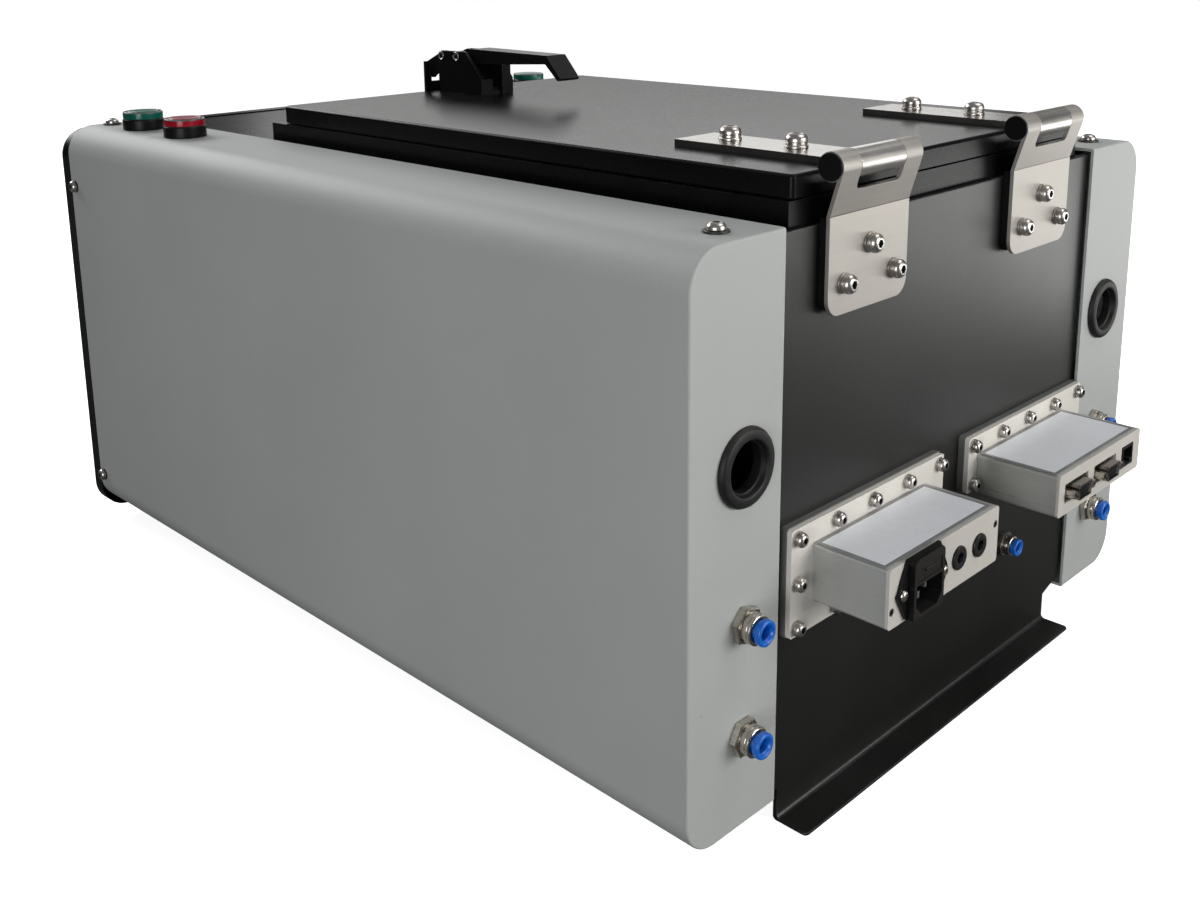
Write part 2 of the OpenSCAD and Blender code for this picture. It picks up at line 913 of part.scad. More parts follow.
module button_bodies() {
  color([0.04, 0.04, 0.04])
    at_buttons()
      difference() {
        union() {
          cylinder(d = bezel_d, h = bezel_h - bezel_rim);
          translate([0, 0, bezel_h - bezel_rim])
            cylinder(d1 = bezel_d, d2 = bezel_d - 2 * bezel_rim,
              h = bezel_rim);
          translate([0, 0, -button_body_h])
            cylinder(d = button_body_d - 0.2, h = button_body_h + 1);
        }
        translate([0, 0, 1])
          cylinder(d = cap_d + 2 * run, h = 20);
        translate([0, 0, -14])
          cylinder(d = 8 + 2 * run, h = 20);
      }
}

module button_nuts() {
  color([0.5, 0.5, 0.5])
    at_buttons()
      translate([0, 0, -sheet - 6])
        difference() {
          cylinder(d = button_body_d + 8, h = 6, $fn = 6);
          translate([0, 0, -1])
            cylinder(d = button_body_d - 0.1, h = 8);
        }
}

module cap(x, y, tint) {
  color(tint)
    translate([x, rear_y - y, cover_top])
      rotate_extrude()
        polygon([[0, -9], [4, -9], [4, 4.5], [cap_r, 4.5], [cap_r, 12.2],
          [cap_r - 2, 14], [0, 14]]);
}

module start_cap_right() {
  cap(button_x, button_y1, [0.02, 0.3, 0.2]);
}

module stop_cap_right() {
  cap(button_x, button_y2, [0.6, 0.05, 0.08]);
}

module start_cap_left() {
  cap(-button_x, button_y1, [0.02, 0.3, 0.2]);
}

// ---------- grommets and tube fittings ----------

module cable_grommets() {
  color([0.03, 0.03, 0.03])
    for (s = [-1, 1])
      translate([s * grommet_x, face_y, grommet_z])
        rotate([-90, 0, 0])
          difference() {
            union() {
              cylinder(d1 = grommet_d, d2 = grommet_d - 4, h = 4);
              translate([0, 0, -sheet])
                cylinder(d = grommet_d - 9.4, h = sheet + 0.5);
              translate([0, 0, -sheet - 3])
                cylinder(d = grommet_d - 3, h = 3);
            }
            translate([0, 0, -10])
              cylinder(d = grommet_bore, h = 20);
          }
}

module fitting_body(x, y, z, back, size = 1) {
  translate([x, y, z])
    rotate([-90, 0, 0])
      difference() {
        union() {
          translate([0, 0, -back])
            cylinder(d = fitting_body_d * size, h = back + 1);
          cylinder(d = fitting_hex * size / cos(30), h = 5.5 * size,
            $fn = 6);
          cylinder(d = fitting_d * size, h = fitting_out * size);
        }
        translate([0, 0, -back - 1])
          cylinder(d = 6 * size, h = back + 8 * size);
        translate([0, 0, 2])
          cylinder(d = collet_stem_d * size + 2 * run,
            h = fitting_out * size + 2);
      }
}

module fitting_bodies() {
  color([0.75, 0.73, 0.68]) {
    for (s = [-1, 1])
      for (z = [fitting_z1, fitting_z2])
        fitting_body(s * fitting_x, face_y, z, fitting_back);
    fitting_body(panel_fitting_x, rear_y, panel_fitting_z, 7,
      panel_fitting_size);
  }
}

module fitting_nuts() {
  color([0.75, 0.73, 0.68]) {
    for (s = [-1, 1])
      for (z = [fitting_z1, fitting_z2])
        translate([s * fitting_x, face_y - sheet, z])
          rotate([90, 0, 0])
            difference() {
              cylinder(d = fitting_hex / cos(30), h = 5, $fn = 6);
              translate([0, 0, -1])
                cylinder(d = pipe_hole_d, h = 8);
            }
  }
}

module collet(x, y, z, size = 1) {
  out = fitting_out * size;
  color([0.02, 0.25, 0.75])
    translate([x, y, z])
      rotate([-90, 0, 0])
        difference() {
          union() {
            translate([0, 0, 4])
              cylinder(d = collet_stem_d * size, h = out - 2);
            translate([0, 0, out + 0.2 + collet_travel])
              cylinder(d = collet_d * size, h = 4);
          }
          translate([0, 0, 3])
            cylinder(d = tube_d * size, h = out + 6);
        }
}

module collet_right_upper() {
  collet(fitting_x, face_y, fitting_z1);
}

module collet_right_lower() {
  collet(fitting_x, face_y, fitting_z2);
}

module collet_left_upper() {
  collet(-fitting_x, face_y, fitting_z1);
}

module collet_left_lower() {
  collet(-fitting_x, face_y, fitting_z2);
}

module collet_panel() {
  collet(panel_fitting_x, rear_y, panel_fitting_z, panel_fitting_size);
}

// ---------- connector boxes ----------

function power_spots() = [for (i = [0:4]) for (r = [-1, 0, 1])
  if (r != 0 || i == 0 || i == 4)
    [power_x + (2 - i) * plate_pitch, power_z + r * power_row]];

function data_spots() = [for (i = [0:4]) for (r = [-1, 1])
  if (r == 1 || i == 0 || i == 4)
    [data_x + (2 - i) * plate_pitch, data_z + r * data_row]];

module backing(x, z, h, grow, y0, y1, spots) {
  difference() {
    bar(x - plate_w / 2 - grow, x + plate_w / 2 + grow, y0, y1,
      z - h / 2 - grow, z + h / 2 + grow);
    for (p = spots)
      rod_y(p[0], y0 - 1, y1 + 1, p[1], hole_d);
  }
}

module power_adapter() {
  color([0.12, 0.12, 0.125])
    backing(power_x, power_z, power_plate_h, adapter_lip, rear_y,
      rear_y + adapter_t, power_spots());
}

module power_plate() {
  color([0.85, 0.85, 0.84])
    backing(power_x, power_z, power_plate_h, 0, rear_y + adapter_t,
      rear_y + adapter_t + plate_t, power_spots());
}

module data_adapter() {
  color([0.12, 0.12, 0.125])
    backing(data_x, data_z, data_plate_h, adapter_lip, rear_y,
      rear_y + adapter_t, data_spots());
}

module data_plate() {
  color([0.85, 0.85, 0.84])
    backing(data_x, data_z, data_plate_h, 0, rear_y + adapter_t,
      rear_y + adapter_t + plate_t, data_spots());
}

module housing(x, z0, w, h, y1) {
  y0 = rear_y + adapter_t + plate_t;
  difference() {
    bar(x - w / 2, x + w / 2, y0, y1, z0, z0 + h);
    bar(x - w / 2 + 3, x + w / 2 - 3, y0 + 3, y1 + 1, z0 + 3, z0 + h - 3);
  }
}

module power_housing() {
  color([0.78, 0.78, 0.78])
    housing(power_x, power_bottom, power_w, power_h,
      rear_y + power_reach - 2);
}

module data_housing() {
  color([0.78, 0.78, 0.78])
    difference() {
      housing(data_box_x, data_bottom, data_w, data_h,
        rear_y + data_reach - 2);
      for (s = [-1, 1])
        bar(data_box_x + s * data_w / 2 - 0.6,
          data_box_x + s * data_w / 2 + 0.6, rear_y + 6,
          rear_y + data_reach, data_bottom + 6, data_bottom + 7);
    }
}

module power_end_plate() {
  y0 = rear_y + power_reach - 2;
  zc = power_mid;
  color([0.88, 0.88, 0.86])
    difference() {
      bar(power_x - power_w / 2, power_x + power_w / 2, y0, y0 + 2,
        power_bottom, power_bottom + power_h);
      bar(inlet_x - 14, inlet_x + 14, y0 - 1, y0 + 3, zc - 15, zc + 15);
      for (x = [jack_x1, jack_x2])
        rod_y(x, y0 - 1, y0 + 3, zc, 11.2);
      for (p = end_screws)
        rod_y(power_x + p[0], y0 + 1, y0 + 3, zc + p[1], 4.6);
    }
}

module power_label() {
  color([0.93, 0.93, 0.92])
    bar(power_x - power_w / 2 + 5, power_x + power_w / 2 - 0.6,
      rear_y + 8, rear_y + power_reach - 2.8, power_bottom + power_h,
      power_bottom + power_h + 0.5);
}

module inlet_outline() {
  polygon([[-25, 0], [-23, -4], [-16, inlet_low], [16, inlet_low],
    [23, -4], [25, 0], [23, 4], [16, inlet_high], [-16, inlet_high],
    [-23, 4]]);
}

module mains_inlet() {
  y0 = rear_y + power_reach;
  zc = power_mid;
  color([0.03, 0.03, 0.03])
    translate([inlet_x, 0, zc]) {
      difference() {
        union() {
          prism_y(y0, y0 + 2)
            inlet_outline();
          bar(-15, 15, y0, y0 + inlet_out, inlet_low, inlet_high);
          bar(-13.8, 13.8, y0 - 22, y0 + 1, -14.2, 14);
        }
        prism_y(y0 - 12, y0 + 10)
          polygon([[-12.7, -8.5], [-8, -13.6], [8, -13.6], [12.7, -8.5],
            [12.7, 3.5], [-12.7, 3.5]]);
        bar(-drawer_w / 2, drawer_w / 2, y0 - 15, y0 + 10, drawer_low,
          drawer_high);
        for (s = [-1, 1])
          rod_y(s * inlet_pitch / 2, y0 - 1, y0 + 4, 0, 3.2);
      }
      for (p = [[-7, -4], [7, -4], [0, -8]])
        bar(p[0] - 1, p[0] + 1, y0 - 13, y0 - 1, p[1] - 2, p[1] + 2);
    }
}

module fuse_drawer() {
  y0 = rear_y + power_reach;
  side = drawer_w / 2 - run;
  color([0.05, 0.05, 0.05])
    translate([inlet_x, 0, power_mid]) {
      bar(-side, side, y0 - 14, y0 + inlet_out - 0.4, drawer_low + run,
        drawer_high - run);
      bar(-5, 5, y0 + inlet_out - 1, y0 + inlet_out + 1, drawer_high - 3.4,
        drawer_high - 1.4);
    }
}

module low_voltage_jacks() {
  y0 = rear_y + power_reach;
  zc = power_mid;
  color([0.04, 0.04, 0.04])
    for (x = [jack_x1, jack_x2])
      translate([x, y0, zc])
        rotate([-90, 0, 0]) {
          difference() {
            union() {
              cylinder(d = jack_d, h = 1.6);
              translate([0, 0, -12])
                cylinder(d = 11, h = 13);
            }
            translate([0, 0, -10])
              cylinder(d = 8, h = 14);
          }
          translate([0, 0, -11])
            cylinder(d = 2.1, h = 10.5);
        }
}

module data_end_plate() {
  y0 = rear_y + data_reach - 2;
  color([0.88, 0.88, 0.86])
    difference() {
      bar(data_box_x - data_w / 2, data_box_x + data_w / 2, y0, y0 + 2,
        data_bottom, data_bottom + data_h);
      for (x = [dsub_x1, dsub_x2])
        bar(x - 15.8, x + 15.8, y0 - 1, y0 + 3, data_box_z - 6.2,
          data_box_z + 6.2);
      bar(rj_x - 8.1, rj_x + 8.1, y0 - 1, y0 + 3, data_box_z - 7.1,
        data_box_z + 7.1);
    }
}

module data_label() {
  color([0.93, 0.93, 0.92])
    bar(data_box_x - data_w / 2 + 5, data_box_x + data_w / 2 - 0.6,
      rear_y + 8, rear_y + data_reach - 2.8, data_bottom + data_h,
      data_bottom + data_h + 0.5);
}

module dsub_shape(w, h) {
  polygon([[-w / 2 + 1.5, -h / 2], [w / 2 - 1.5, -h / 2],
    [w / 2, h / 2 - 1.5], [w / 2 - 1.5, h / 2], [-w / 2 + 1.5, h / 2],
    [-w / 2, h / 2 - 1.5]]);
}

module dsub_connectors() {
  y0 = rear_y + data_reach;
  color([0.68, 0.68, 0.66])
    for (x = [dsub_x1, dsub_x2])
      translate([x, 0, data_box_z]) {
        difference() {
          union() {
            bar(-17, 17, y0 - 3, y0 - 2, -8, 8);
            prism_y(y0 - 8, y0 + dsub_out)
              dsub_shape(18.4, 9.6);
          }
          prism_y(y0 - 1, y0 + dsub_out + 1)
            dsub_shape(17.2, 8.4);
        }
        for (i = [0:4])
          rod_y((i - 2) * 2.76, y0 - 2, y0 + 4.5, 1.4, 1);
        for (i = [0:3])
          rod_y((i - 1.5) * 2.76, y0 - 2, y0 + 4.5, -1.4, 1);
        for (s = [-1, 1])
          translate([s * 12.5, y0 - 2, 0])
            rotate([-90, 0, 0])
              difference() {
                cylinder(d = 5.4, h = 7.6, $fn = 6);
                translate([0, 0, 4])
                  cylinder(d = 2.8, h = 5, $fn = 24);
              }
      }
}

module network_socket() {
  y0 = rear_y + data_reach;
  color([0.1, 0.1, 0.1])
    translate([rj_x, 0, data_box_z]) {
      difference() {
        bar(-8, 8, y0 - 16, y0 + 0.6, -7, 7);
        bar(-6, 6, y0 - 13, y0 + 1, -5.2, 3);
        bar(-3.2, 3.2, y0 - 13, y0 + 1, 2, 5.4);
      }
    }
}

module box_screws() {
  y0 = rear_y + adapter_t + plate_t;
  color([0.6, 0.6, 0.6]) {
    for (p = power_spots())
      screw_rear(p[0], y0, p[1], adapter_t + plate_t);
    for (p = data_spots())
      screw_rear(p[0], y0, p[1], adapter_t + plate_t);
  }
}

// ---------- drawing ----------

front_panel();
body_shell();
rear_panel();
front_foot();
chamber();
chamber_foam_floor();
chamber_foam_front();
chamber_foam_rear();
chamber_foam_right();
chamber_foam_left();
rim_gasket();
right_cover();
left_cover();
cover_brackets();
cover_screws();
lid();
lid_liner();
lid_foam_pad();
hinge_spacers();
rear_leaf_right();
rear_leaf_left();
lid_strap_right();
lid_strap_left();
hinge_pins();
rear_leaf_screws();
strap_screws();
latch_bracket();
latch_pins();
latch_lever();
latch_claw();
latch_catch();
button_bodies();
button_nuts();
start_cap_right();
stop_cap_right();
start_cap_left();
cable_grommets();
fitting_bodies();
fitting_nuts();
collet_right_upper();
collet_right_lower();
collet_left_upper();
collet_left_lower();
collet_panel();
power_adapter();
power_plate();
power_housing();
power_end_plate();
power_label();
mains_inlet();
fuse_drawer();
low_voltage_jacks();
data_adapter();
data_plate();
data_housing();
data_end_plate();
data_label();
dsub_connectors();
network_socket();
box_screws();
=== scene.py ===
import math
import bpy
from mathutils import Matrix, Vector


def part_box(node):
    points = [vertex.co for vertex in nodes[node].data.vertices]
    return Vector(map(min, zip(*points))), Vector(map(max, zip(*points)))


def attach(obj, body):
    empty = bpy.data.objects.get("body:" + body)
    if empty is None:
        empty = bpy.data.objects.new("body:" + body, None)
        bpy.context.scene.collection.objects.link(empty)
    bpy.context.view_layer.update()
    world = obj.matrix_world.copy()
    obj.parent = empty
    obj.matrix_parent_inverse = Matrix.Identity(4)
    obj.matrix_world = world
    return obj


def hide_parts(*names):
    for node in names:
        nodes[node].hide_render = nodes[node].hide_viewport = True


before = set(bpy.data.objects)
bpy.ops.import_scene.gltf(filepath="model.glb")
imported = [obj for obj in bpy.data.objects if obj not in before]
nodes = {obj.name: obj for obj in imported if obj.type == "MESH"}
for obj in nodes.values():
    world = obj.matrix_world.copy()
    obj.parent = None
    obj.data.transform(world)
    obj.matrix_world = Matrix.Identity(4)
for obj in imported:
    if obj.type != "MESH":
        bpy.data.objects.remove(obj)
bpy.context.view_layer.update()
print("frame loaded:", len(nodes), "nodes")

# camera, floor and lights, in metres
shot = {
    "place": (0.689620, 0.691818, 0.478514),
    "right": (-0.7041077842, 0.7100157252, -0.0104832364),
    "down": (0.1662863608, 0.1505140889, -0.9745226294),
    "ahead": (-0.6903485166, -0.6879121885, -0.2240440727),
    "lens": 39.325,
    "shiftY": -0.1658,
    "floorSize": 60.0,
    "floorTone": (0.9, 0.9, 0.895, 1), "floorBounce": (0.13, 0.13, 0.128, 1),
    "floorGlow": (0.85, 0.85, 0.848, 1),  # paper lit from below, for the camera only
}

cameraData = bpy.data.cameras.new("mainCamera")
cameraData.sensor_width = 36
cameraData.lens = shot["lens"]
cameraData.shift_y = shot["shiftY"]
cameraData.clip_start = 0.02
camera = bpy.data.objects.new("mainCamera", cameraData)
bpy.context.scene.collection.objects.link(camera)
columns = [Vector(shot["right"]), -Vector(shot["down"]), -Vector(shot["ahead"])]
turnMatrix = Matrix(columns).transposed().to_4x4()
camera.matrix_world = Matrix.Translation(shot["place"]) @ turnMatrix
bpy.context.scene.camera = camera
bpy.context.scene.view_settings.view_transform = "Standard"

studio = {
    "skyTop": (0.2, 0.203, 0.21), "skySide": (0.02, 0.02, 0.021),
    "backdrop": (1.0, 1.0, 1.0),
    # name, place, aimed at, width, height, power, colour
    "boxes": [
        ("edgeSoftbox", (-2.0, -1.9, 1.4), (0, 0, 0.3), 2.2, 1.2, 15.5, (1, 0.995, 0.985)),
        ("sideSoftbox", (1.7, 0.9, 0.4), (0.2, 0, 0.15), 0.9, 0.8, 15, (0.985, 0.99, 1)),
        ("rearSoftbox", (-0.8, 2.4, 0.7), (0, 0.3, 0.2), 1.4, 1.0, 44, (1, 0.99, 0.97)),
        ("roundSoftbox", (0.35, -2.2, 1.6), (0.2, 0, 0.3), 1.6, 1.0, 40, (1, 1, 1)),
        ("topSoftbox", (-0.9, 0.9, 2.3), (0, 0, 0.2), 1.6, 1.1, 15, (1, 0.99, 0.98)),
        ("floorGlow", (-1.9, 1.2, 0.03), (-1.9, 1.2, 3), 2.0, 1.5, 38, (1, 1, 0.985)),
    ],
}


def softbox(name, place, aim, width, height, power, colour):
    lamp = bpy.data.lights.new(name, "AREA")
    lamp.shape = "RECTANGLE"
    lamp.size = width
    lamp.size_y = height
    lamp.energy = power
    lamp.color = colour
    lampObject = bpy.data.objects.new(name, lamp)
    bpy.context.scene.collection.objects.link(lampObject)
    lampObject.location = place
    look = Vector(aim) - Vector(place)
    lampObject.rotation_euler = look.to_track_quat("-Z", "Y").to_euler()
    lampObject.visible_camera = False


for box in studio["boxes"]:
    softbox(*box)


def addNode(tree, kind, settings=None, **sockets):
    node = tree.nodes.new("ShaderNode" + kind)
    for key, value in (settings or {}).items():
        setattr(node, key, value)
    for key, value in sockets.items():
        socket = node.inputs[int(key[1:])] if key[0] == "i" and key[1:].isdigit() \
            else node.inputs[key.replace("_", " ")]
        if isinstance(value, bpy.types.NodeSocket):
            tree.links.new(value, socket)
        else:
            socket.default_value = value
    return node


def mathNode(tree, operation, a, b=0.0):
    return addNode(tree, "Math", {"operation": operation}, i0=a, i1=b).outputs[0]


def mixTones(tree, factor, first, second):
    return addNode(tree, "Mix", {"data_type": "RGBA"}, i0=factor, i6=first,
                   i7=second).outputs[2]


def spread(tree, value, low, high):
    # a value from low to high becomes 0 to 1
    return addNode(tree, "MapRange", None, Value=value, From_Min=low,
                   From_Max=high).outputs["Result"]


def noise(tree, vector, scale, detail, roughness):
    return addNode(tree, "TexNoise", None, Vector=vector, Scale=scale, Detail=detail,
                   Roughness=roughness).outputs["Fac"]


def buildSky():
    # grey sky that is brighter overhead, behind it a pale backdrop
    world = bpy.data.worlds.new("studio")
    bpy.context.scene.world = world
    world.use_nodes = True
    tree = world.node_tree
    background = tree.nodes["Background"]
    direction = addNode(tree, "TexCoord").outputs["Generated"]
    height = addNode(tree, "SeparateXYZ", None, Vector=direction).outputs["Z"]
    rise = addNode(tree, "MapRange", {"interpolation_type": "SMOOTHSTEP"}, Value=height,
                   From_Min=0.05, From_Max=0.75).outputs["Result"]
    sky = mixTones(tree, rise, (*studio["skySide"], 1), (*studio["skyTop"], 1))
    seen = addNode(tree, "LightPath").outputs["Is Camera Ray"]
    tone = mixTones(tree, seen, sky, (*studio["backdrop"], 1))
    tree.links.new(tone, background.inputs["Color"])
    background.inputs["Strength"].default_value = 1.0


buildSky()
print("camera and lights ready")

# small modelling tools, all sizes in millimetres
axisTurn = {
    "Z": (0, 0, 0),
    "Y": (-math.pi / 2, 0, 0),
    "X": (0, math.pi / 2, 0),
    "-X": (0, -math.pi / 2, 0),
}


def deselectAll():
    if bpy.context.object and bpy.context.object.mode != "OBJECT":
        bpy.ops.object.mode_set(mode="OBJECT")
    bpy.ops.object.select_all(action="DESELECT")


def choose(*pieces):
    deselectAll()
    for piece in pieces:
        piece.hide_set(False)
        piece.select_set(True)
    bpy.context.view_layer.objects.active = pieces[0]


def editMode():
    bpy.ops.object.mode_set(mode="EDIT")


def objectMode():
    bpy.ops.object.mode_set(mode="OBJECT")


def pickFaces(test):
    bpy.ops.mesh.select_mode(type="FACE")
    bpy.ops.mesh.select_all(action="DESELECT")
    objectMode()
    for face in bpy.context.object.data.polygons:
        face.select = bool(test(face.center * 1000, face.normal))
    editMode()


def pickEdges(test):
    bpy.ops.mesh.select_mode(type="EDGE")
    bpy.ops.mesh.select_all(action="DESELECT")
    objectMode()
    mesh = bpy.context.object.data
    for edge in mesh.edges:
        a, b = (mesh.vertices[i].co * 1000 for i in edge.vertices)
        edge.select = bool(test(a, b))
    editMode()


def near(value, target, slack=0.05):
    return abs(value - target) < slack


def along(a, b, axis):
    return all(near(a[i], b[i]) for i in range(3) if i != axis)


def bevelPicked(width, segments):
    bpy.ops.mesh.bevel(offset=width / 1000, segments=segments, affect="EDGES")


def extrudePicked(rise):
    move = (0, 0, rise / 1000)
    bpy.ops.mesh.extrude_region_move(TRANSFORM_OT_translate={"value": move})


def mergeAndFaceOut():
    bpy.ops.mesh.select_all(action="SELECT")
    bpy.ops.mesh.remove_doubles(threshold=1e-6)
    bpy.ops.mesh.normals_make_consistent(inside=False)


def mmBox(node):
    low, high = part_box(node)
    return [v * 1000 for v in low], [v * 1000 for v in high]


def block(name, low, high):
    deselectAll()
    middle = [(a + b) / 2000 for a, b in zip(low, high)]
    bpy.ops.mesh.primitive_cube_add(size=1, location=middle)
    piece = bpy.context.object
    piece.name = name
    piece.scale = [abs(b - a) / 1000 for a, b in zip(low, high)]
    bpy.ops.object.transform_apply(location=True, rotation=True, scale=True)
    return piece


def place(piece, spot, axis="Z", spin=0, size=1):
    # a piece made upright at the origin is turned, scaled and set at its spot
    choose(piece)
    bpy.ops.object.transform_apply(location=True, rotation=True, scale=True)
    piece.data.transform(Matrix.Rotation(spin, 4, "Z"))
    piece.rotation_euler = axisTurn[axis]
    piece.scale = (size, size, size)
    piece.location = [v / 1000 for v in spot]
    bpy.ops.object.transform_apply(location=True, rotation=True, scale=True)
    return piece


def another(source, spot, axis="Z", spin=0, size=1):
    copy = source.copy()
    copy.data = source.data.copy()
    bpy.context.scene.collection.objects.link(copy)
    return place(copy, spot, axis, spin, size)


def turned(name, rings, sides=48, closed=False):
    # rings are (radius, height) pairs, drawn out one after the other
    deselectAll()
    fill = "NOTHING" if closed else "NGON"
    radius, height = rings[0]
    bpy.ops.mesh.primitive_circle_add(vertices=sides, radius=radius / 1000,
                                      fill_type=fill, location=(0, 0, height / 1000))
    piece = bpy.context.object
    piece.name = name
    bpy.ops.object.transform_apply(location=True, rotation=True, scale=True)
    editMode()
    bpy.ops.mesh.select_mode(type="VERT")
    bpy.ops.mesh.select_all(action="SELECT")
    path = rings[1:] + ([rings[0]] if closed else [])
    for nextRadius, nextHeight in path:
        extrudePicked(nextHeight - height)
        factor = nextRadius / radius
        bpy.ops.transform.resize(value=(factor, factor, 1),
                                 center_override=(0, 0, nextHeight / 1000))
        radius, height = nextRadius, nextHeight
    mergeAndFaceOut()
    objectMode()
    return piece


def modified(piece, kind, **settings):
    # a modifier is added with its settings and applied at once
    choose(piece)
    modifier = piece.modifiers.new("shaping", kind)
    for key, value in settings.items():
        setattr(modifier, key, value)
    bpy.ops.object.modifier_apply(modifier=modifier.name)
    return piece


def dropped(*masters):
    for master in masters:
        bpy.data.objects.remove(master)


def cut(piece, *cutters):
    for cutter in cutters:
        modified(piece, "BOOLEAN", operation="DIFFERENCE", solver="EXACT", object=cutter)
        dropped(cutter)
    return piece


def walled(piece, thickness):
    return modified(piece, "SOLIDIFY", thickness=thickness / 1000, offset=-1,
                    use_even_offset=True)


def joined(name, pieces):
    choose(*pieces)
    if len(pieces) > 1:
        bpy.ops.object.join()
    piece = bpy.context.object
    piece.name = name
    return piece


def smoothEdges(piece, width=0.4, segments=2, angle=35):
    # small rounding on the sharp edges, then flat faces kept flat
    choose(piece)
    if width:
        modified(piece, "BEVEL", width=width / 1000, segments=segments,
                 limit_method="ANGLE", angle_limit=math.radians(angle),
                 use_clamp_overlap=True)
    bpy.ops.object.shade_smooth_by_angle(angle=math.radians(angle + 3))
    return modified(piece, "WEIGHTED_NORMAL", keep_sharp=True)


def copiesOf(master, name, spots, axis="Z", spin=0):
    # one piece made of the master's copies, one at each spot
    copies = [another(master, spot, axis, spin) for spot in spots]
    dropped(master)
    return joined(name, copies)


def camel(node):
    words = node.split("_")
    return words[0] + "".join(word.capitalize() for word in words[1:])


def mergedCopy(node, name=None):
    # a merged copy of the CAD node's mesh, to be worked on
    name = name or camel(node)
    copy = nodes[node].copy()
    copy.data = nodes[node].data.copy()
    for key in list(copy.keys()):
        if key.startswith("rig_"):
            del copy[key]
    copy.parent = None
    copy.name = name
    bpy.context.scene.collection.objects.link(copy)
    copy.hide_render = False
    copy.hide_viewport = False
    choose(copy)
    if copy.data.has_custom_normals:
        bpy.ops.mesh.customdata_custom_splitnormals_clear()
    editMode()
    bpy.ops.mesh.select_all(action="SELECT")
    bpy.ops.mesh.remove_doubles(threshold=2e-6)
    bpy.ops.mesh.dissolve_limited(angle_limit=math.radians(0.4))
    objectMode()
    return copy


def roundedCopy(node, width=0.4, segments=2, name=None):
    return smoothEdges(mergedCopy(node, name), width, segments)


def secondTone(piece, material, test):
    # a second material on the faces that pass the test
    piece.data.materials.append(material)
    slotNumber = len(piece.data.materials) - 1
    for face in piece.data.polygons:
        if test(face.center * 1000, face.normal):
            face.material_index = slotNumber
    return piece


def painted(piece, material):
    piece.data.materials.clear()
    piece.data.materials.append(material)
    return piece


def finished(piece, body, slotName, material, *standsFor):
    piece.data.name = piece.name
    if material is not None:
        painted(piece, material)
    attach(piece, body)
    if standsFor:
        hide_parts(*standsFor)
    return piece


def plainPiece(node, rider, slotName, finish, width=0.4, segments=2, name=None):
    # a CAD shape that only needs rounded edges and its own material
    piece = roundedCopy(node, width, segments, name)
    return finished(piece, rider, slotName, paint[finish], node)


# shader groups shared by the materials
def shaderGroup(name, inputs, outputs):
    group = bpy.data.node_groups.new(name, "ShaderNodeTree")
    for socketName, value in {"Vector": (0, 0, 0), **inputs}.items():
        kind = "NodeSocketVector" if isinstance(value, tuple) else "NodeSocketFloat"
        socket = group.interface.new_socket(name=socketName, in_out="INPUT",
                                            socket_type=kind)
        socket.default_value = value
    for socketName in outputs:
        group.interface.new_socket(name=socketName, in_out="OUTPUT",
                                   socket_type="NodeSocketFloat")
    start = group.nodes.new("NodeGroupInput")
    end = group.nodes.new("NodeGroupOutput")
    return group, start, end


def buildEdgeWear():
    group, start, end = shaderGroup("edgeWear", {"Radius": 0.0008, "Patchiness": 90.0},
                                    ["Mask"])
    bevel = addNode(group, "Bevel", {"samples": 4}, Radius=start.outputs["Radius"])
    surface = addNode(group, "NewGeometry")
    dot = addNode(group, "VectorMath", {"operation": "DOT_PRODUCT"},
                  i0=bevel.outputs["Normal"], i1=surface.outputs["Normal"])
    bend = mathNode(group, "SUBTRACT", 1.0, dot.outputs["Value"])
    sharp = spread(group, bend, 0.015, 0.12)
    patches = noise(group, start.outputs["Vector"], start.outputs["Patchiness"], 4.0, 0.65)
    mask = mathNode(group, "MULTIPLY", sharp, spread(group, patches, 0.42, 0.68))
    group.links.new(mask, end.inputs["Mask"])
    return group


def buildPowderCoat():
    group, start, end = shaderGroup("powderCoat", {"Grain Size": 900.0},
                                    ["Tone", "Height"])
    spot = start.outputs["Vector"]
    grain = noise(group, spot, start.outputs["Grain Size"], 2.0, 0.6)
    cloud = noise(group, spot, 7.0, 3.0, 0.55)
    cells = addNode(group, "TexVoronoi", {"feature": "SMOOTH_F1"}, Vector=spot,
                    Scale=620.0)
    fine = mathNode(group, "MULTIPLY", grain, 0.45)
    broad = mathNode(group, "MULTIPLY", cloud, 0.55)
    group.links.new(mathNode(group, "ADD", fine, broad), end.inputs["Tone"])
    bumps = mathNode(group, "ADD", grain, cells.outputs["Distance"])
    group.links.new(bumps, end.inputs["Height"])
    return group


def buildBrushed():
    group, start, end = shaderGroup("brushedGrain", {"Stretch": (4.0, 900.0, 900.0)},
                                    ["Tone", "Height"])
    long = addNode(group, "VectorMath", {"operation": "MULTIPLY"},
                   i0=start.outputs["Vector"], i1=start.outputs["Stretch"])
    streaks = noise(group, long.outputs["Vector"], 1.0, 4.0, 0.7)
    cloud = noise(group, start.outputs["Vector"], 40.0, 3.0, 0.6)
    lines = mathNode(group, "MULTIPLY", streaks, 0.6)
    broad = mathNode(group, "MULTIPLY", cloud, 0.4)
    group.links.new(mathNode(group, "ADD", lines, broad), end.inputs["Tone"])
    group.links.new(streaks, end.inputs["Height"])
    return group


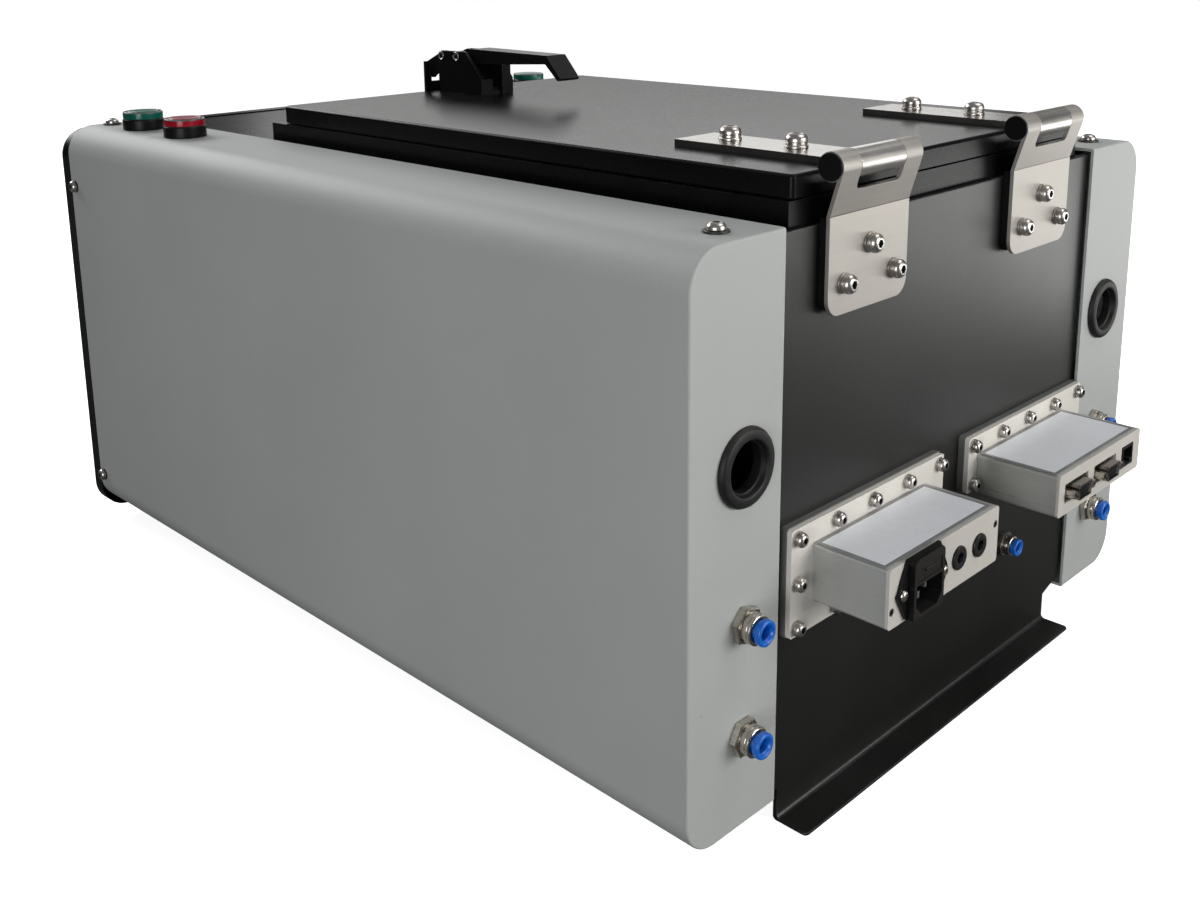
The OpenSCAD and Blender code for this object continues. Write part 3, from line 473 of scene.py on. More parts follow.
def buildKnit():
    # wire mesh: two sets of fine waves crossing each other
    group, start, end = shaderGroup("wireKnit", {"Grain Size": 260.0},
                                    ["Tone", "Height"])
    heights = []
    for turn in (0.785, -0.785):  # an eighth of a turn each way
        turnedSpace = addNode(group, "Mapping", None, Vector=start.outputs["Vector"])
        turnedSpace.inputs["Rotation"].default_value = (0, 0, turn)
        wave = addNode(group, "TexWave", None, Vector=turnedSpace.outputs["Vector"],
                       Scale=start.outputs["Grain Size"], Distortion=0.6)
        heights.append(wave.outputs["Fac"])
    both = mathNode(group, "MAXIMUM", heights[0], heights[1])
    group.links.new(both, end.inputs["Height"])
    group.links.new(both, end.inputs["Tone"])
    return group


def buildDust():
    group, start, end = shaderGroup("dustAndSpecks", {"Amount": 0.1}, ["Dust", "Specks"])
    surface = addNode(group, "NewGeometry")
    parts = addNode(group, "SeparateXYZ", None, Vector=surface.outputs["Normal"])
    up = spread(group, parts.outputs["Z"], 0.3, 1.0)
    cloud = noise(group, start.outputs["Vector"], 24.0, 5.0, 0.7)
    dust = mathNode(group, "MULTIPLY", up, spread(group, cloud, 0.4, 0.75))
    dust = mathNode(group, "MULTIPLY", dust, start.outputs["Amount"])
    group.links.new(dust, end.inputs["Dust"])
    dots = addNode(group, "TexVoronoi", {"feature": "F1"},
                   Vector=start.outputs["Vector"], Scale=34.0, Randomness=1.0)
    small = spread(group, dots.outputs["Distance"], 0.045, 0.03)
    pick = addNode(group, "SeparateColor", None, Color=dots.outputs["Color"])
    rare = spread(group, pick.outputs["Red"], 0.93, 0.95)
    group.links.new(mathNode(group, "MULTIPLY", small, rare), end.inputs["Specks"])
    return group


edgeWear = buildEdgeWear()
dustAndSpecks = buildDust()
grains = {"powder": buildPowderCoat(), "brushed": buildBrushed(), "knit": buildKnit()}


# what a finish has where it says nothing else
usual = {"metallic": 0.0, "specular": 0.5, "stretch": None, "knit": False,
         "grainSize": 900.0, "toneLow": 0.35, "toneHigh": 0.65, "dust": 0.08,
         "dustTone": (0.4, 0.39, 0.37), "specks": None, "speckAmount": 0.8, "wear": None,
         "wearAmount": 0.6, "wearRadius": 0.0008, "bump": 0.15, "bumpDepth": 0.0002,
         "constants": {}}


def makeMaterial(name, dark, light, roughness, given):
    look = {**usual, **given}
    material = bpy.data.materials.new(name)
    material.use_nodes = True
    tree = material.node_tree
    shader = tree.nodes["Principled BSDF"]
    constants = {"Metallic": look["metallic"], "IOR": 1.5,
                 "Specular IOR Level": look["specular"], **look["constants"]}
    for socketName, value in constants.items():
        shader.inputs[socketName].default_value = value
    coords = addNode(tree, "TexCoord").outputs["Object"]
    kind = "brushed" if look["stretch"] else "knit" if look["knit"] else "powder"
    grain = addNode(tree, "Group", {"node_tree": grains[kind]}, Vector=coords)
    if kind == "brushed":
        grain.inputs["Stretch"].default_value = look["stretch"]
    else:
        grain.inputs["Grain Size"].default_value = look["grainSize"]
    tone = spread(tree, grain.outputs["Tone"], look["toneLow"], look["toneHigh"])
    mixed = mixTones(tree, tone, (*dark, 1), (*light, 1))
    dirt = addNode(tree, "Group", {"node_tree": dustAndSpecks}, Vector=coords,
                   Amount=look["dust"])
    mixed = mixTones(tree, dirt.outputs["Dust"], mixed, (*look["dustTone"], 1))
    if look["specks"]:
        speckFactor = mathNode(tree, "MULTIPLY", dirt.outputs["Specks"],
                               look["speckAmount"])
        mixed = mixTones(tree, speckFactor, mixed, (*look["specks"], 1))
    if look["wear"]:
        worn = addNode(tree, "Group", {"node_tree": edgeWear}, Vector=coords,
                       Radius=look["wearRadius"])
        wearFactor = mathNode(tree, "MULTIPLY", worn.outputs["Mask"], look["wearAmount"])
        mixed = mixTones(tree, wearFactor, mixed, (*look["wear"], 1))
    tree.links.new(mixed, shader.inputs["Base Color"])
    rough = addNode(tree, "MapRange", None, Value=grain.outputs["Tone"], From_Min=0.3,
                    From_Max=0.7, To_Min=roughness[0], To_Max=roughness[1])
    tree.links.new(rough.outputs["Result"], shader.inputs["Roughness"])
    bump = addNode(tree, "Bump", None, Height=grain.outputs["Height"],
                   Strength=look["bump"], Distance=look["bumpDepth"])
    tree.links.new(bump.outputs["Normal"], shader.inputs["Normal"])
    return material


lensLook = {"specular": 0.3, "bump": 0.05, "grainSize": 260.0,
            "constants": {"Subsurface Weight": 0.2, "Subsurface Scale": 0.004}}
capTopLook = {"bump": 0.08, "grainSize": 260.0}
finishes = {
    # dark tone, light tone, roughness from and to, what differs from usual
    "blackCoat": ((0.0022, 0.0023, 0.0025), (0.004, 0.004, 0.0042), (0.24, 0.33), {
        "specular": 0.1, "bump": 0.05, "bumpDepth": 0.00012, "dust": 0.006,
        "wear": (0.09, 0.09, 0.085), "wearAmount": 0.3}),
    "panelCoat": ((0.003, 0.0031, 0.0028), (0.006, 0.006, 0.0055), (0.33, 0.45), {
        "specular": 0.5, "bump": 0.12, "bumpDepth": 0.0002, "dust": 0.02,
        "wear": (0.16, 0.16, 0.15), "wearAmount": 0.6}),
    # black for the latch and spacers, also the partly painted shade on the hinge pin heads
    "latchBlack": ((0.0035, 0.0035, 0.0038), (0.007, 0.007, 0.0072), (0.26, 0.38), {
        "specular": 0.1, "bump": 0.1, "wear": (0.12, 0.12, 0.12), "wearAmount": 0.35}),
    "coverGrey": ((0.345, 0.36, 0.35), (0.38, 0.395, 0.385), (0.5, 0.62), {
        "specular": 0.4, "bump": 0.12, "bumpDepth": 0.00012, "dust": 0.02,
        "specks": (0.05, 0.05, 0.045), "wear": (0.66, 0.67, 0.66), "wearAmount": 0.75,
        "wearRadius": 0.0012}),
    "hingeSteel": ((0.35, 0.33, 0.306), (0.39, 0.369, 0.342), (0.46, 0.54), {
        "metallic": 0.75, "stretch": (6.0, 500.0, 500.0), "bump": 0.05,
        "bumpDepth": 0.0001}),
    "strapSteel": ((0.34, 0.33, 0.315), (0.42, 0.41, 0.39), (0.24, 0.32), {
        "metallic": 1.0, "stretch": (500.0, 6.0, 6.0), "bump": 0.05, "bumpDepth": 0.0001}),
    # a brighter copy of the strap steel for the knuckle: painted highlight
    "barrelHighlightSteel": ((0.52, 0.5, 0.47), (0.64, 0.615, 0.58), (0.3, 0.38), {
        "metallic": 1.0, "stretch": (12.0, 500.0, 500.0), "bump": 0.04,
        "bumpDepth": 0.0001}),
    "screwSteel": ((0.4, 0.375, 0.35), (0.62, 0.59, 0.555), (0.26, 0.36), {
        "metallic": 1.0, "stretch": (300.0, 300.0, 300.0), "bump": 0.08}),
    # dark steel for the small end plate screws, also the painted shade inside the screw
    # sockets
    "socketDark": ((0.012, 0.012, 0.012), (0.03, 0.03, 0.03), (0.4, 0.6), {
        "metallic": 0.4, "bump": 0.1}),
    # bare steel, also the painted highlight ring on the latch rivet heads
    "bareSteelAndRivetHighlight": ((0.4, 0.4, 0.39), (0.58, 0.575, 0.56), (0.28, 0.42), {
        "metallic": 1.0, "stretch": (500.0, 8.0, 500.0), "bump": 0.1}),
    "adapterGrey": ((0.1, 0.1, 0.096), (0.135, 0.135, 0.13), (0.34, 0.46), {
        "bump": 0.1, "bumpDepth": 0.0002, "wear": (0.3, 0.3, 0.29), "wearAmount": 0.5}),
    # dark washers, also the painted shade on the set-back faces of the D-sub shells
    "darkWasherAndRecessShade": ((0.03, 0.03, 0.028), (0.08, 0.078, 0.074), (0.3, 0.5), {
        "metallic": 0.8, "bump": 0.1}),
    "nickel": ((0.38, 0.35, 0.305), (0.62, 0.58, 0.52), (0.18, 0.32), {
        "metallic": 1.0, "stretch": (400.0, 60.0, 400.0), "bump": 0.06}),
    "socketShell": ((0.16, 0.145, 0.125), (0.3, 0.275, 0.245), (0.24, 0.36), {
        "metallic": 1.0, "stretch": (200.0, 60.0, 200.0), "bump": 0.05}),
    "bluePlastic": ((0.004, 0.1, 0.46), (0.008, 0.14, 0.58), (0.24, 0.36), {
        "bump": 0.05, "grainSize": 300.0,
        "constants": {"Subsurface Weight": 0.06, "Subsurface Scale": 0.002}}),
    "blackPlastic": ((0.003, 0.003, 0.0033), (0.006, 0.006, 0.0063), (0.3, 0.44), {
        "specular": 0.16, "bump": 0.08, "grainSize": 500.0}),
    # a lighter copy of the black plastic for faces that face out: painted light
    "socketFace": ((0.009, 0.008, 0.007), (0.015, 0.0135, 0.012), (0.3, 0.45), {
        "specular": 0.3, "bump": 0.08, "grainSize": 500.0}),
    "rubber": ((0.004, 0.004, 0.004), (0.009, 0.009, 0.009), (0.42, 0.62), {
        "specular": 0.3, "bump": 0.2, "grainSize": 350.0, "dust": 0.05}),
    "plateWhite": ((0.58, 0.558, 0.515), (0.66, 0.637, 0.588), (0.34, 0.48), {
        "bump": 0.08, "dust": 0.02, "wear": (0.3, 0.29, 0.27), "wearAmount": 0.25}),
    "boxSilver": ((0.42, 0.425, 0.41), (0.49, 0.495, 0.478), (0.34, 0.42), {
        "metallic": 0.55, "stretch": (900.0, 6.0, 900.0), "bump": 0.05,
        "wear": (0.75, 0.75, 0.73), "wearAmount": 0.5}),
    "endPlate": ((0.46, 0.44, 0.403), (0.53, 0.509, 0.471), (0.36, 0.5), {
        "bump": 0.08, "wear": (0.75, 0.74, 0.7), "wearAmount": 0.4}),
    "labelWhite": ((0.74, 0.765, 0.8), (0.8, 0.825, 0.86), (0.3, 0.38), {
        "bump": 0.03, "grainSize": 200.0,
        "constants": {"Coat Weight": 0.1, "Coat Roughness": 0.2}}),
    # dark grey for the label's sides and edge band: painted shade
    "labelEdge": ((0.19, 0.195, 0.2), (0.24, 0.245, 0.25), (0.16, 0.25), {
        "bump": 0.04, "grainSize": 200.0}),
    "foamDark": ((0.01, 0.01, 0.0108), (0.032, 0.032, 0.034), (0.85, 0.98), {
        "bump": 0.9, "bumpDepth": 0.0008, "grainSize": 420.0, "dust": 0.04}),
    "gasketGrey": ((0.12, 0.12, 0.12), (0.5, 0.49, 0.48), (0.35, 0.55), {
        "metallic": 0.8, "knit": True, "grainSize": 260.0, "bump": 0.8,
        "bumpDepth": 0.0004, "toneLow": 0.2, "toneHigh": 0.9}),
    "contactGold": ((0.55, 0.38, 0.12), (0.8, 0.6, 0.25), (0.2, 0.3), {
        "metallic": 1.0, "bump": 0.03}),
    "greenLens": ((0.002, 0.07, 0.052), (0.006, 0.115, 0.085), (0.14, 0.26), lensLook),
    "greenTop": ((0.012, 0.085, 0.067), (0.022, 0.12, 0.095), (0.3, 0.42), capTopLook),
    "redLens": ((0.2, 0.004, 0.012), (0.33, 0.008, 0.022), (0.14, 0.26), lensLook),
    "redTop": ((0.2, 0.015, 0.03), (0.28, 0.026, 0.045), (0.3, 0.42), capTopLook),
    # dark band at the hinge leaf's bend: painted shade
    "bendLine": ((0.05, 0.048, 0.045), (0.09, 0.086, 0.08), (0.4, 0.5), {
        "metallic": 0.8, "bump": 0.05}),
    "clearRim": ((0.05, 0.07, 0.065), (0.09, 0.12, 0.11), (0.22, 0.32), {
        "specular": 0.3, "bump": 0.03, "grainSize": 260.0}),
}
paint = {name: makeMaterial(name, *look) for name, look in finishes.items()}
print("materials ready:", len(paint))

deselectAll()
bpy.ops.mesh.primitive_plane_add(size=shot["floorSize"], location=(0, 0, 0))
floor = bpy.context.object
floor.name = "studioFloor"
floorPaint = bpy.data.materials.new("floorPaper")
floorPaint.use_nodes = True
floorShader = floorPaint.node_tree.nodes["Principled BSDF"]
floorSeen = addNode(floorPaint.node_tree, "LightPath").outputs["Is Camera Ray"]
floorTone = mixTones(floorPaint.node_tree, floorSeen, shot["floorBounce"],
                     shot["floorTone"])
floorPaint.node_tree.links.new(floorTone, floorShader.inputs["Base Color"])
floorPaint.node_tree.links.new(floorSeen, floorShader.inputs["Emission Strength"])
floorShader.inputs["Emission Color"].default_value = shot["floorGlow"]
floorShader.inputs["Roughness"].default_value = 0.9
floorShader.inputs["Specular IOR Level"].default_value = 0.0
floor.data.materials.append(floorPaint)

# where things sit, read from the frame or in millimetres
def middle(node):
    low, high = mmBox(node)
    return [(a + b) / 2 for a, b in zip(low, high)]


body = {"rear": 303.5, "rimHalf": 160.0, "rimFront": -186.5, "rimRear": 299.5,
        "hingeX": (101.8, -92.5), "sheet": 2.0, "grommet": 21.5}
rearY = body["rear"]
coverRear = mmBox("right_cover")[1][1]
colletNodes = ["collet_right_upper", "collet_right_lower", "collet_left_upper",
               "collet_left_lower", "collet_panel"]
tubeSpots = {node: middle(node) for node in colletNodes}
capNodes = ["start_cap_right", "stop_cap_right", "start_cap_left"]
capSpots = {node: middle(node) for node in capNodes}
grommetLow, grommetHigh = mmBox("cable_grommets")
grommetSpots = [(side * (grommetHigh[0] - body["grommet"]), coverRear,
                 (grommetLow[2] + grommetHigh[2]) / 2) for side in (1, -1)]

# side covers: folded sheet with a big round along its outer edges
cover = {"bigRound": 22.0, "rearRound": 1.4, "sheet": 2.0,
         "grommetHole": 17.0, "tubeHole": 7.6, "buttonHole": 11.0}


def sideCover(name, node, side):
    low, high = mmBox(node)
    outer, inner = (high[0], low[0]) if side > 0 else (low[0], high[0])
    shell = block(name, low, high)
    editMode()
    pickEdges(lambda a, b: near(a.x, outer) and near(b.x, outer) and near(a.z, b.z))
    bevelPicked(cover["bigRound"], 14)
    pickEdges(lambda a, b: near(a.y, high[1]) and near(b.y, high[1])
              and not (near(a.x, inner) and near(b.x, inner)))
    bevelPicked(cover["rearRound"], 3)
    pickFaces(lambda c, n: n.x * side < -0.9 or n.y < -0.9)
    bpy.ops.mesh.delete(type="FACE")
    objectMode()
    walled(shell, cover["sheet"])
    holes = []

    def addHole(radius, spot, axis):
        reach = 3 * cover["sheet"]
        holes.append(place(turned("hole", [(radius, -reach), (radius, reach)]), spot, axis))

    addHole(cover["grommetHole"], grommetSpots[0 if side > 0 else 1], "Y")
    for spot in tubeSpots.values():
        if spot[0] * side > inner * side:
            addHole(cover["tubeHole"], (spot[0], coverRear, spot[2]), "Y")
    for spot in capSpots.values():
        if spot[0] * side > 0:
            addHole(cover["buttonHole"], (spot[0], spot[1], high[2]), "Z")
    cut(shell, *holes)
    return smoothEdges(shell, 0.3, 2, 50)


for name, node, side in (("coverRight", "right_cover", 1), ("coverLeft", "left_cover", -1)):
    finished(sideCover(name, node, side), "base", "grey_cover", paint["coverGrey"], node)
print("covers done")

# lid: shallow tray with rounded top edge
lidSizes = {"cornerRound": 3.0, "topRound": 2.0, "lowRound": 0.8, "sheet": 2.0}


def lidPanel():
    low, high = mmBox("lid")
    panel = block("lidPanel", low, high)
    editMode()
    pickEdges(lambda a, b: not near(a.z, b.z))
    bevelPicked(lidSizes["cornerRound"], 6)
    pickEdges(lambda a, b: near(a.z, high[2]) and near(b.z, high[2]))
    bevelPicked(lidSizes["topRound"], 5)
    pickEdges(lambda a, b: near(a.z, low[2]) and near(b.z, low[2]))
    bevelPicked(lidSizes["lowRound"], 3)
    pickFaces(lambda c, n: n.z < -0.99)
    bpy.ops.mesh.inset(thickness=lidSizes["sheet"] / 1000)
    extrudePicked(high[2] - low[2] - lidSizes["sheet"])
    objectMode()
    return smoothEdges(panel, 0, 1, 35)


finished(lidPanel(), "lid", "black_steel", paint["blackCoat"], "lid")


# body: a folded box with the opening for the raised rim
def bodyShell():
    low, high = mmBox("body_shell")
    shell = block("bodyShell", low, high)
    editMode()
    half, front, rear = body["rimHalf"], body["rimFront"], body["rimRear"]
    planes = [((half, 0, 0), (1, 0, 0)), ((-half, 0, 0), (1, 0, 0)),
              ((0, front, 0), (0, 1, 0)), ((0, rear, 0), (0, 1, 0))]
    for spot, normal in planes:
        bpy.ops.mesh.select_all(action="SELECT")
        bpy.ops.mesh.bisect(plane_co=[v / 1000 for v in spot], plane_no=normal)
    pickFaces(lambda c, n: n.y < -0.9 or (n.z > 0.9 and abs(c.x) < half
                                          and front < c.y < rear))
    bpy.ops.mesh.delete(type="FACE")
    objectMode()
    return smoothEdges(walled(shell, body["sheet"]), 0.5, 2, 50)


footRound = {"bend": 2.6, "corner": 3.0, "edge": 0.7}


def rearPanel():
    panel = mergedCopy("rear_panel")
    lip = mmBox("rear_panel")[1][1]
    editMode()
    pickEdges(lambda a, b: along(a, b, 0) and abs(a.x - b.x) > 50
              and (near(a.y, rearY) and near(a.z, 2.0, 0.2)
                   or near(a.y, rearY - 3, 0.2) and near(a.z, 0, 0.2)))
    bevelPicked(footRound["bend"], 5)
    pickEdges(lambda a, b: along(a, b, 2) and near(a.y, lip) and abs(a.z - b.z) > 1)
    bevelPicked(footRound["corner"], 4)
    objectMode()
    return smoothEdges(panel, footRound["edge"], 2, 40)


finished(bodyShell(), "base", "black_steel", paint["blackCoat"], "body_shell")
finished(rearPanel(), "base", "black_steel", paint["panelCoat"], "rear_panel")
bodyPieces = [
    # node, finish, rounding, name
    ("chamber", "blackCoat", 0.8, "chamberRim"),
    ("front_panel", "blackCoat", 0.8, "frontPan"),
    ("front_foot", "blackCoat", 0.7, None),
    ("cover_brackets", "blackCoat", 0.4, None),
    ("hinge_spacers", "latchBlack", 0.5, None),
]
for node, finish, width, name in bodyPieces:
    plainPiece(node, "base", "black_steel", finish, width, name=name)
print("body done")

# chamber lining: slabs with rows of short pyramids facing the room
foam = {"pitch": 27.0, "base": 8.0, "tip": 2.2, "edge": 0.9}


def foamSlab(name, node, axis, sign):
    low, high = mmBox(node)
    slab = block(name, low, high)
    depth = high[axis] - low[axis] - foam["base"]
    facing = lambda c, n: n[axis] * sign > 0.9
    move = [0, 0, 0]
    move[axis] = -sign * depth / 1000
    editMode()
    pickFaces(facing)
    bpy.ops.transform.translate(value=move)
    size = []
    for across in (i for i in range(3) if i != axis):
        length = high[across] - low[across]
        count = max(1, round(length / foam["pitch"]))
        size.append(length / count)
        for step in range(1, count):
            spot = [v / 1000 for v in low]
            spot[across] += length * step / count / 1000
            normal = [0, 0, 0]
            normal[across] = 1
            pickFaces(facing)
            bpy.ops.mesh.bisect(plane_co=spot, plane_no=normal)
    pickFaces(facing)
    bpy.ops.mesh.inset(thickness=(min(size) / 2 - foam["tip"]) / 1000,
                       depth=depth / 1000, use_individual=True)
    objectMode()
    return smoothEdges(slab, foam["edge"], 2, 30)


foamPieces = [
    # name, node, body, axis and side that faces the room
    ("foamFloor", "chamber_foam_floor", "base", 2, 1),
    ("foamFront", "chamber_foam_front", "base", 1, 1),
    ("foamRear", "chamber_foam_rear", "base", 1, -1),
    ("foamRight", "chamber_foam_right", "base", 0, -1),
    ("foamLeft", "chamber_foam_left", "base", 0, 1),
    ("lidFoamPad", "lid_foam_pad", "lid", 2, -1),
]
for name, node, rider, axis, sign in foamPieces:
    piece = finished(foamSlab(name, node, axis, sign), rider, "foam",
                     paint["foamDark"], node)
plainPiece("rim_gasket", "base", "gasket", "gasketGrey", 1.1, 4)
plainPiece("lid_liner", "lid", "bare_steel", "bareSteelAndRivetHighlight")
print("lining done")

# screws: domed head with a six-sided socket, flat washer, most with a spring washer
screwSizes = {"head": 5.1, "socket": 2.35, "socketFloor": 1.4, "shank": 2.45,
              "shankLow": -6, "washer": 5.4, "bigWasher": 7.0, "washerHigh": 1.3,
              "washerEdge": 0.25, "springHigh": 1.4,
              # how far the head draws in, and how high above its seat
              "dome": [(0.35, 0), (0, 0.35), (0, 1.2), (0.15, 1.9), (0.6, 2.7),
                       (1.3, 3.3), (2.0, 3.65), (2.4, 3.75)]}


def edgedRing(name, inside, outside, low, high, drawIn):
    edge = screwSizes["washerEdge"]
    return turned(name, [(inside, low), (outside - drawIn, low), (outside, low + edge),
                         (outside, high - edge), (outside - drawIn, high),
                         (inside, high)], 32, closed=True)


def screwMaster(name, spring, washerRadius, washerPaint):
    sizes = screwSizes
    lift = sizes["washerHigh"] + (sizes["springHigh"] if spring else 0)
    head, hole, shank = sizes["head"], sizes["socket"], sizes["shank"]
    rings = [(shank, sizes["shankLow"]), (shank, lift)]
    rings += [(head - inwards, lift + up) for inwards, up in sizes["dome"]]
    top = turned("head", rings, 32)
    floorHigh = lift + sizes["socketFloor"]
    cut(top, turned("socket", [(hole, floorHigh), (hole, lift + 5)], 6))
    painted(top, paint["screwSteel"])
    # the socket's walls and floor are painted near black: painted shade in the hole
    secondTone(top, paint["socketDark"], lambda c, n: c.xy.length < hole + 0.05
               and floorHigh - 0.1 < c.z < lift + 3.6)
    inside, high = shank + 0.15, sizes["washerHigh"]
    flat = edgedRing("washer", inside, washerRadius, 0, high, sizes["washerEdge"])
    parts = [top, painted(flat, washerPaint)]
    if spring:
        ring = edgedRing("spring", inside, head - 0.1, high, lift, 0.3)
        cut(ring, block("split", (-0.35, 2, high - 0.1), (0.35, 6, lift + 0.1)))
        parts.append(painted(ring, paint["screwSteel"]))
    return smoothEdges(joined(name, parts), 0, 1, 32)


screw = screwMaster("screw", True, screwSizes["washer"], paint["screwSteel"])
plainScrew = screwMaster("plainScrew", False, screwSizes["washer"], paint["darkWasherAndRecessShade"])
wideScrew = screwMaster("wideScrew", False, screwSizes["bigWasher"], paint["darkWasherAndRecessShade"])
plates = {"pitch": 35.65, "powerX": 89.082, "powerZ": 146.6, "powerRow": 26.0,
          "dataX": -94.746, "dataZ": 159.7, "dataRow": 12.9}
leafFace = rearY + 7
leafSpots = [((x + dx, leafFace, z), "Y") for x in body["hingeX"]
             for dx, z in ((0, 324.3), (-23.5, 306.0), (23.5, 306.0))]
strapSpots = [((x, rearY - back, 370.5), "Z") for x in body["hingeX"] for back in (43, 90)]
boxSpots = []
for i in range(-2, 3):
    ends = abs(i) == 2
    for row in (-1, 0, 1):
        if row != 0 or ends:
            boxSpots.append(((plates["powerX"] + i * plates["pitch"], leafFace,
                              plates["powerZ"] + row * plates["powerRow"]), "Y"))
        if row == 1 or (row == -1 and ends):
            boxSpots.append(((plates["dataX"] + i * plates["pitch"], leafFace,
                              plates["dataZ"] + row * plates["dataRow"]), "Y"))
screwSets = [
    # name, spots, body, node, size
    ("rearLeafScrews", leafSpots, "base", "rear_leaf_screws", 1.07),
    ("strapScrews", strapSpots, "lid", "strap_screws", 1.25),
    ("boxScrews", boxSpots, "base", "box_screws", 0.82),
]
for name, spots, rider, node, size in screwSets:
    # each screw is turned a little further than the one before
    copies = [another(screw, spot, axis, 0.37 + 1.1 * number, size)
              for number, (spot, axis) in enumerate(spots)]
    finished(joined(name, copies), rider, "screw_steel", None, node)
coverSide, _, coverTop = mmBox("right_cover")[1]
# top screws as distance from the middle and place along, side screws as height
coverScrews = {"top": [(204, 288.5), (212, -346.5)], "sideY": -351.5,
               "sideZ": (46.0, coverTop - 47.5), "sideSize": 0.92}
wide, plain = [], []
for side, axis in ((1, "X"), (-1, "-X")):
    wide += [another(wideScrew, (side * x, y, coverTop), "Z", 0.5)
             for x, y in coverScrews["top"]]
    plain += [another(plainScrew, (side * coverSide, coverScrews["sideY"], z), axis, 0.9,
                      coverScrews["sideSize"]) for z in coverScrews["sideZ"]]
finished(joined("coverScrews", wide + plain), "base", "screw_steel", None, "cover_screws")
dropped(screw, plainScrew, wideScrew)
print("screws done")

# hinges
hinge = {"slotHalf": 21.05, "slotLow": 356.2, "slotRound": 3.4, "bend": 343.5,
         "line": 0.45, "axisY": 310.083, "axisZ": 369.5, "barrel": 8.1,
         "outwards": 5}


def inBarrel(c, n):
    # inside the barrel's radius, and an end face or one that faces away from the axis
    dy, dz = c.y - hinge["axisY"], c.z - hinge["axisZ"]
    return (math.hypot(dy, dz) < hinge["barrel"]
            and (abs(n.x) > 0.9 or dy * n.y + dz * n.z > hinge["outwards"]))


def hingeLeaf(name, node):
    leaf = mergedCopy(node, name)
    x = middle(node)[0]
    editMode()
    pickEdges(lambda a, b: near(a.x, b.x) and near(abs(a.x - x), hinge["slotHalf"], 0.15)
              and near(a.z, hinge["slotLow"], 0.3) and near(b.z, hinge["slotLow"], 0.3))
    bevelPicked(hinge["slotRound"], 5)
    # two cuts across the bend make a thin band, painted dark below: painted shade along the
    # fold
    for z in (hinge["bend"] - hinge["line"], hinge["bend"]):
        bpy.ops.mesh.select_all(action="SELECT")
        bpy.ops.mesh.bisect(plane_co=(0, 0, z / 1000), plane_no=(0, 0, 1))
    objectMode()
    smoothEdges(painted(leaf, paint["hingeSteel"]), 0.35, 2, 40)
    return secondTone(leaf, paint["bendLine"], lambda c, n: n.y > 0.8 and
                      hinge["bend"] - hinge["line"] < c.z < hinge["bend"])


for name, node in (("hingeLeafRight", "rear_leaf_right"), ("hingeLeafLeft", "rear_leaf_left")):
    finished(hingeLeaf(name, node), "base", "hinge_steel", None, node)
for name, node in (("lidStrapRight", "lid_strap_right"), ("lidStrapLeft", "lid_strap_left")):
    strap = painted(roundedCopy(node, name=name), paint["strapSteel"])
    # the knuckle is drawn in a brighter copy of the strap steel: painted highlight
    secondTone(strap, paint["barrelHighlightSteel"], inBarrel)
    finished(strap, "lid", "hinge_steel", None, node)
# the pin heads are black caps, and their black also stands in for the shade on the barrel
# ends: partly painted shade
plainPiece("hinge_pins", "base", "black_steel", "latchBlack", 0.5)
print("hinges done")

# latch: bracket, lever, claw and two rivets whose heads carry a ring in bare steel colour, a
# painted highlight
latch = {"earOut": 16.5, "pins": (-139.5, -158.5), "pinZ": 396.0}


def rivets():
    out = latch["earOut"]
    half = [(0.8, 1.1), (1.5, 1.15), (1.9, 0.8), (2.4, 0.75), (3.2, 1.2), (3.65, 0.7),
            (3.7, 0.0), (2.45, 0.0)]
    rings = [(r, -out - h) for r, h in half] + [(r, out + h) for r, h in reversed(half)]
    master = painted(turned("rivet", rings, 32), paint["latchBlack"])
    # a ring on each head in bare steel colour: painted highlight
    secondTone(master, paint["bareSteelAndRivetHighlight"],
               lambda c, n: 2.1 < c.xy.length < 3.8 and out + 0.4 < abs(c.z))
    smoothEdges(master, 0, 1, 40)
    return copiesOf(master, "latchPins", [(0, y, latch["pinZ"]) for y in latch["pins"]], "X")


finished(rivets(), "lid", "bare_steel", None, "latch_pins")
plainPiece("latch_bracket", "lid", "black_steel", "latchBlack", 0.4)
plainPiece("latch_lever", "latch_lever", "black_steel", "latchBlack", 0.55)
plainPiece("latch_claw", "latch_claw", "black_steel", "latchBlack", 0.45)
plainPiece("latch_catch", "base", "bare_steel", "bareSteelAndRivetHighlight", 0.5)
print("latch done")

# push buttons: black bezel with a coloured collar and clear rim, and a cap inside it
button = {
    "bezel": [(10.9, -34), (10.9, 0.02), (15.6, 0.02), (15.8, 0.4), (15.8, 7.6), (15.5, 8.3),
              (15.1, 8.6), (15.0, 9.0), (15.2, 9.4), (15.2, 13.2), (15.0, 13.9),
              (14.5, 14.3), (13.2, 14.4), (12.4, 14.2), (12.15, 13.7), (12.05, 1.0),
              (4.05, 1.0), (4.05, -34)],
    "cap": [(3.9, -9), (3.9, 4.5), (11.6, 4.6), (11.8, 5.0), (11.8, 13.9), (11.5, 14.4),
            (10.9, 14.7), (8.0, 14.95), (2.0, 15.0)],
    "collarFrom": 8.8, "wellRadius": 12.2, "rimFrom": 13.5, "rimInner": 13.3,
    "faceFrom": 14.5,
}


def buttonBezel(tone):
    bezel = painted(turned("bezel", button["bezel"], 64, closed=True), paint["blackPlastic"])
    secondTone(bezel, paint[tone], lambda c, n: c.z > button["collarFrom"]
               and c.xy.length > button["wellRadius"])
    secondTone(bezel, paint["clearRim"], lambda c, n: c.z > button["rimFrom"]
               and c.xy.length > button["rimInner"])
    return smoothEdges(bezel, 0, 1, 50)


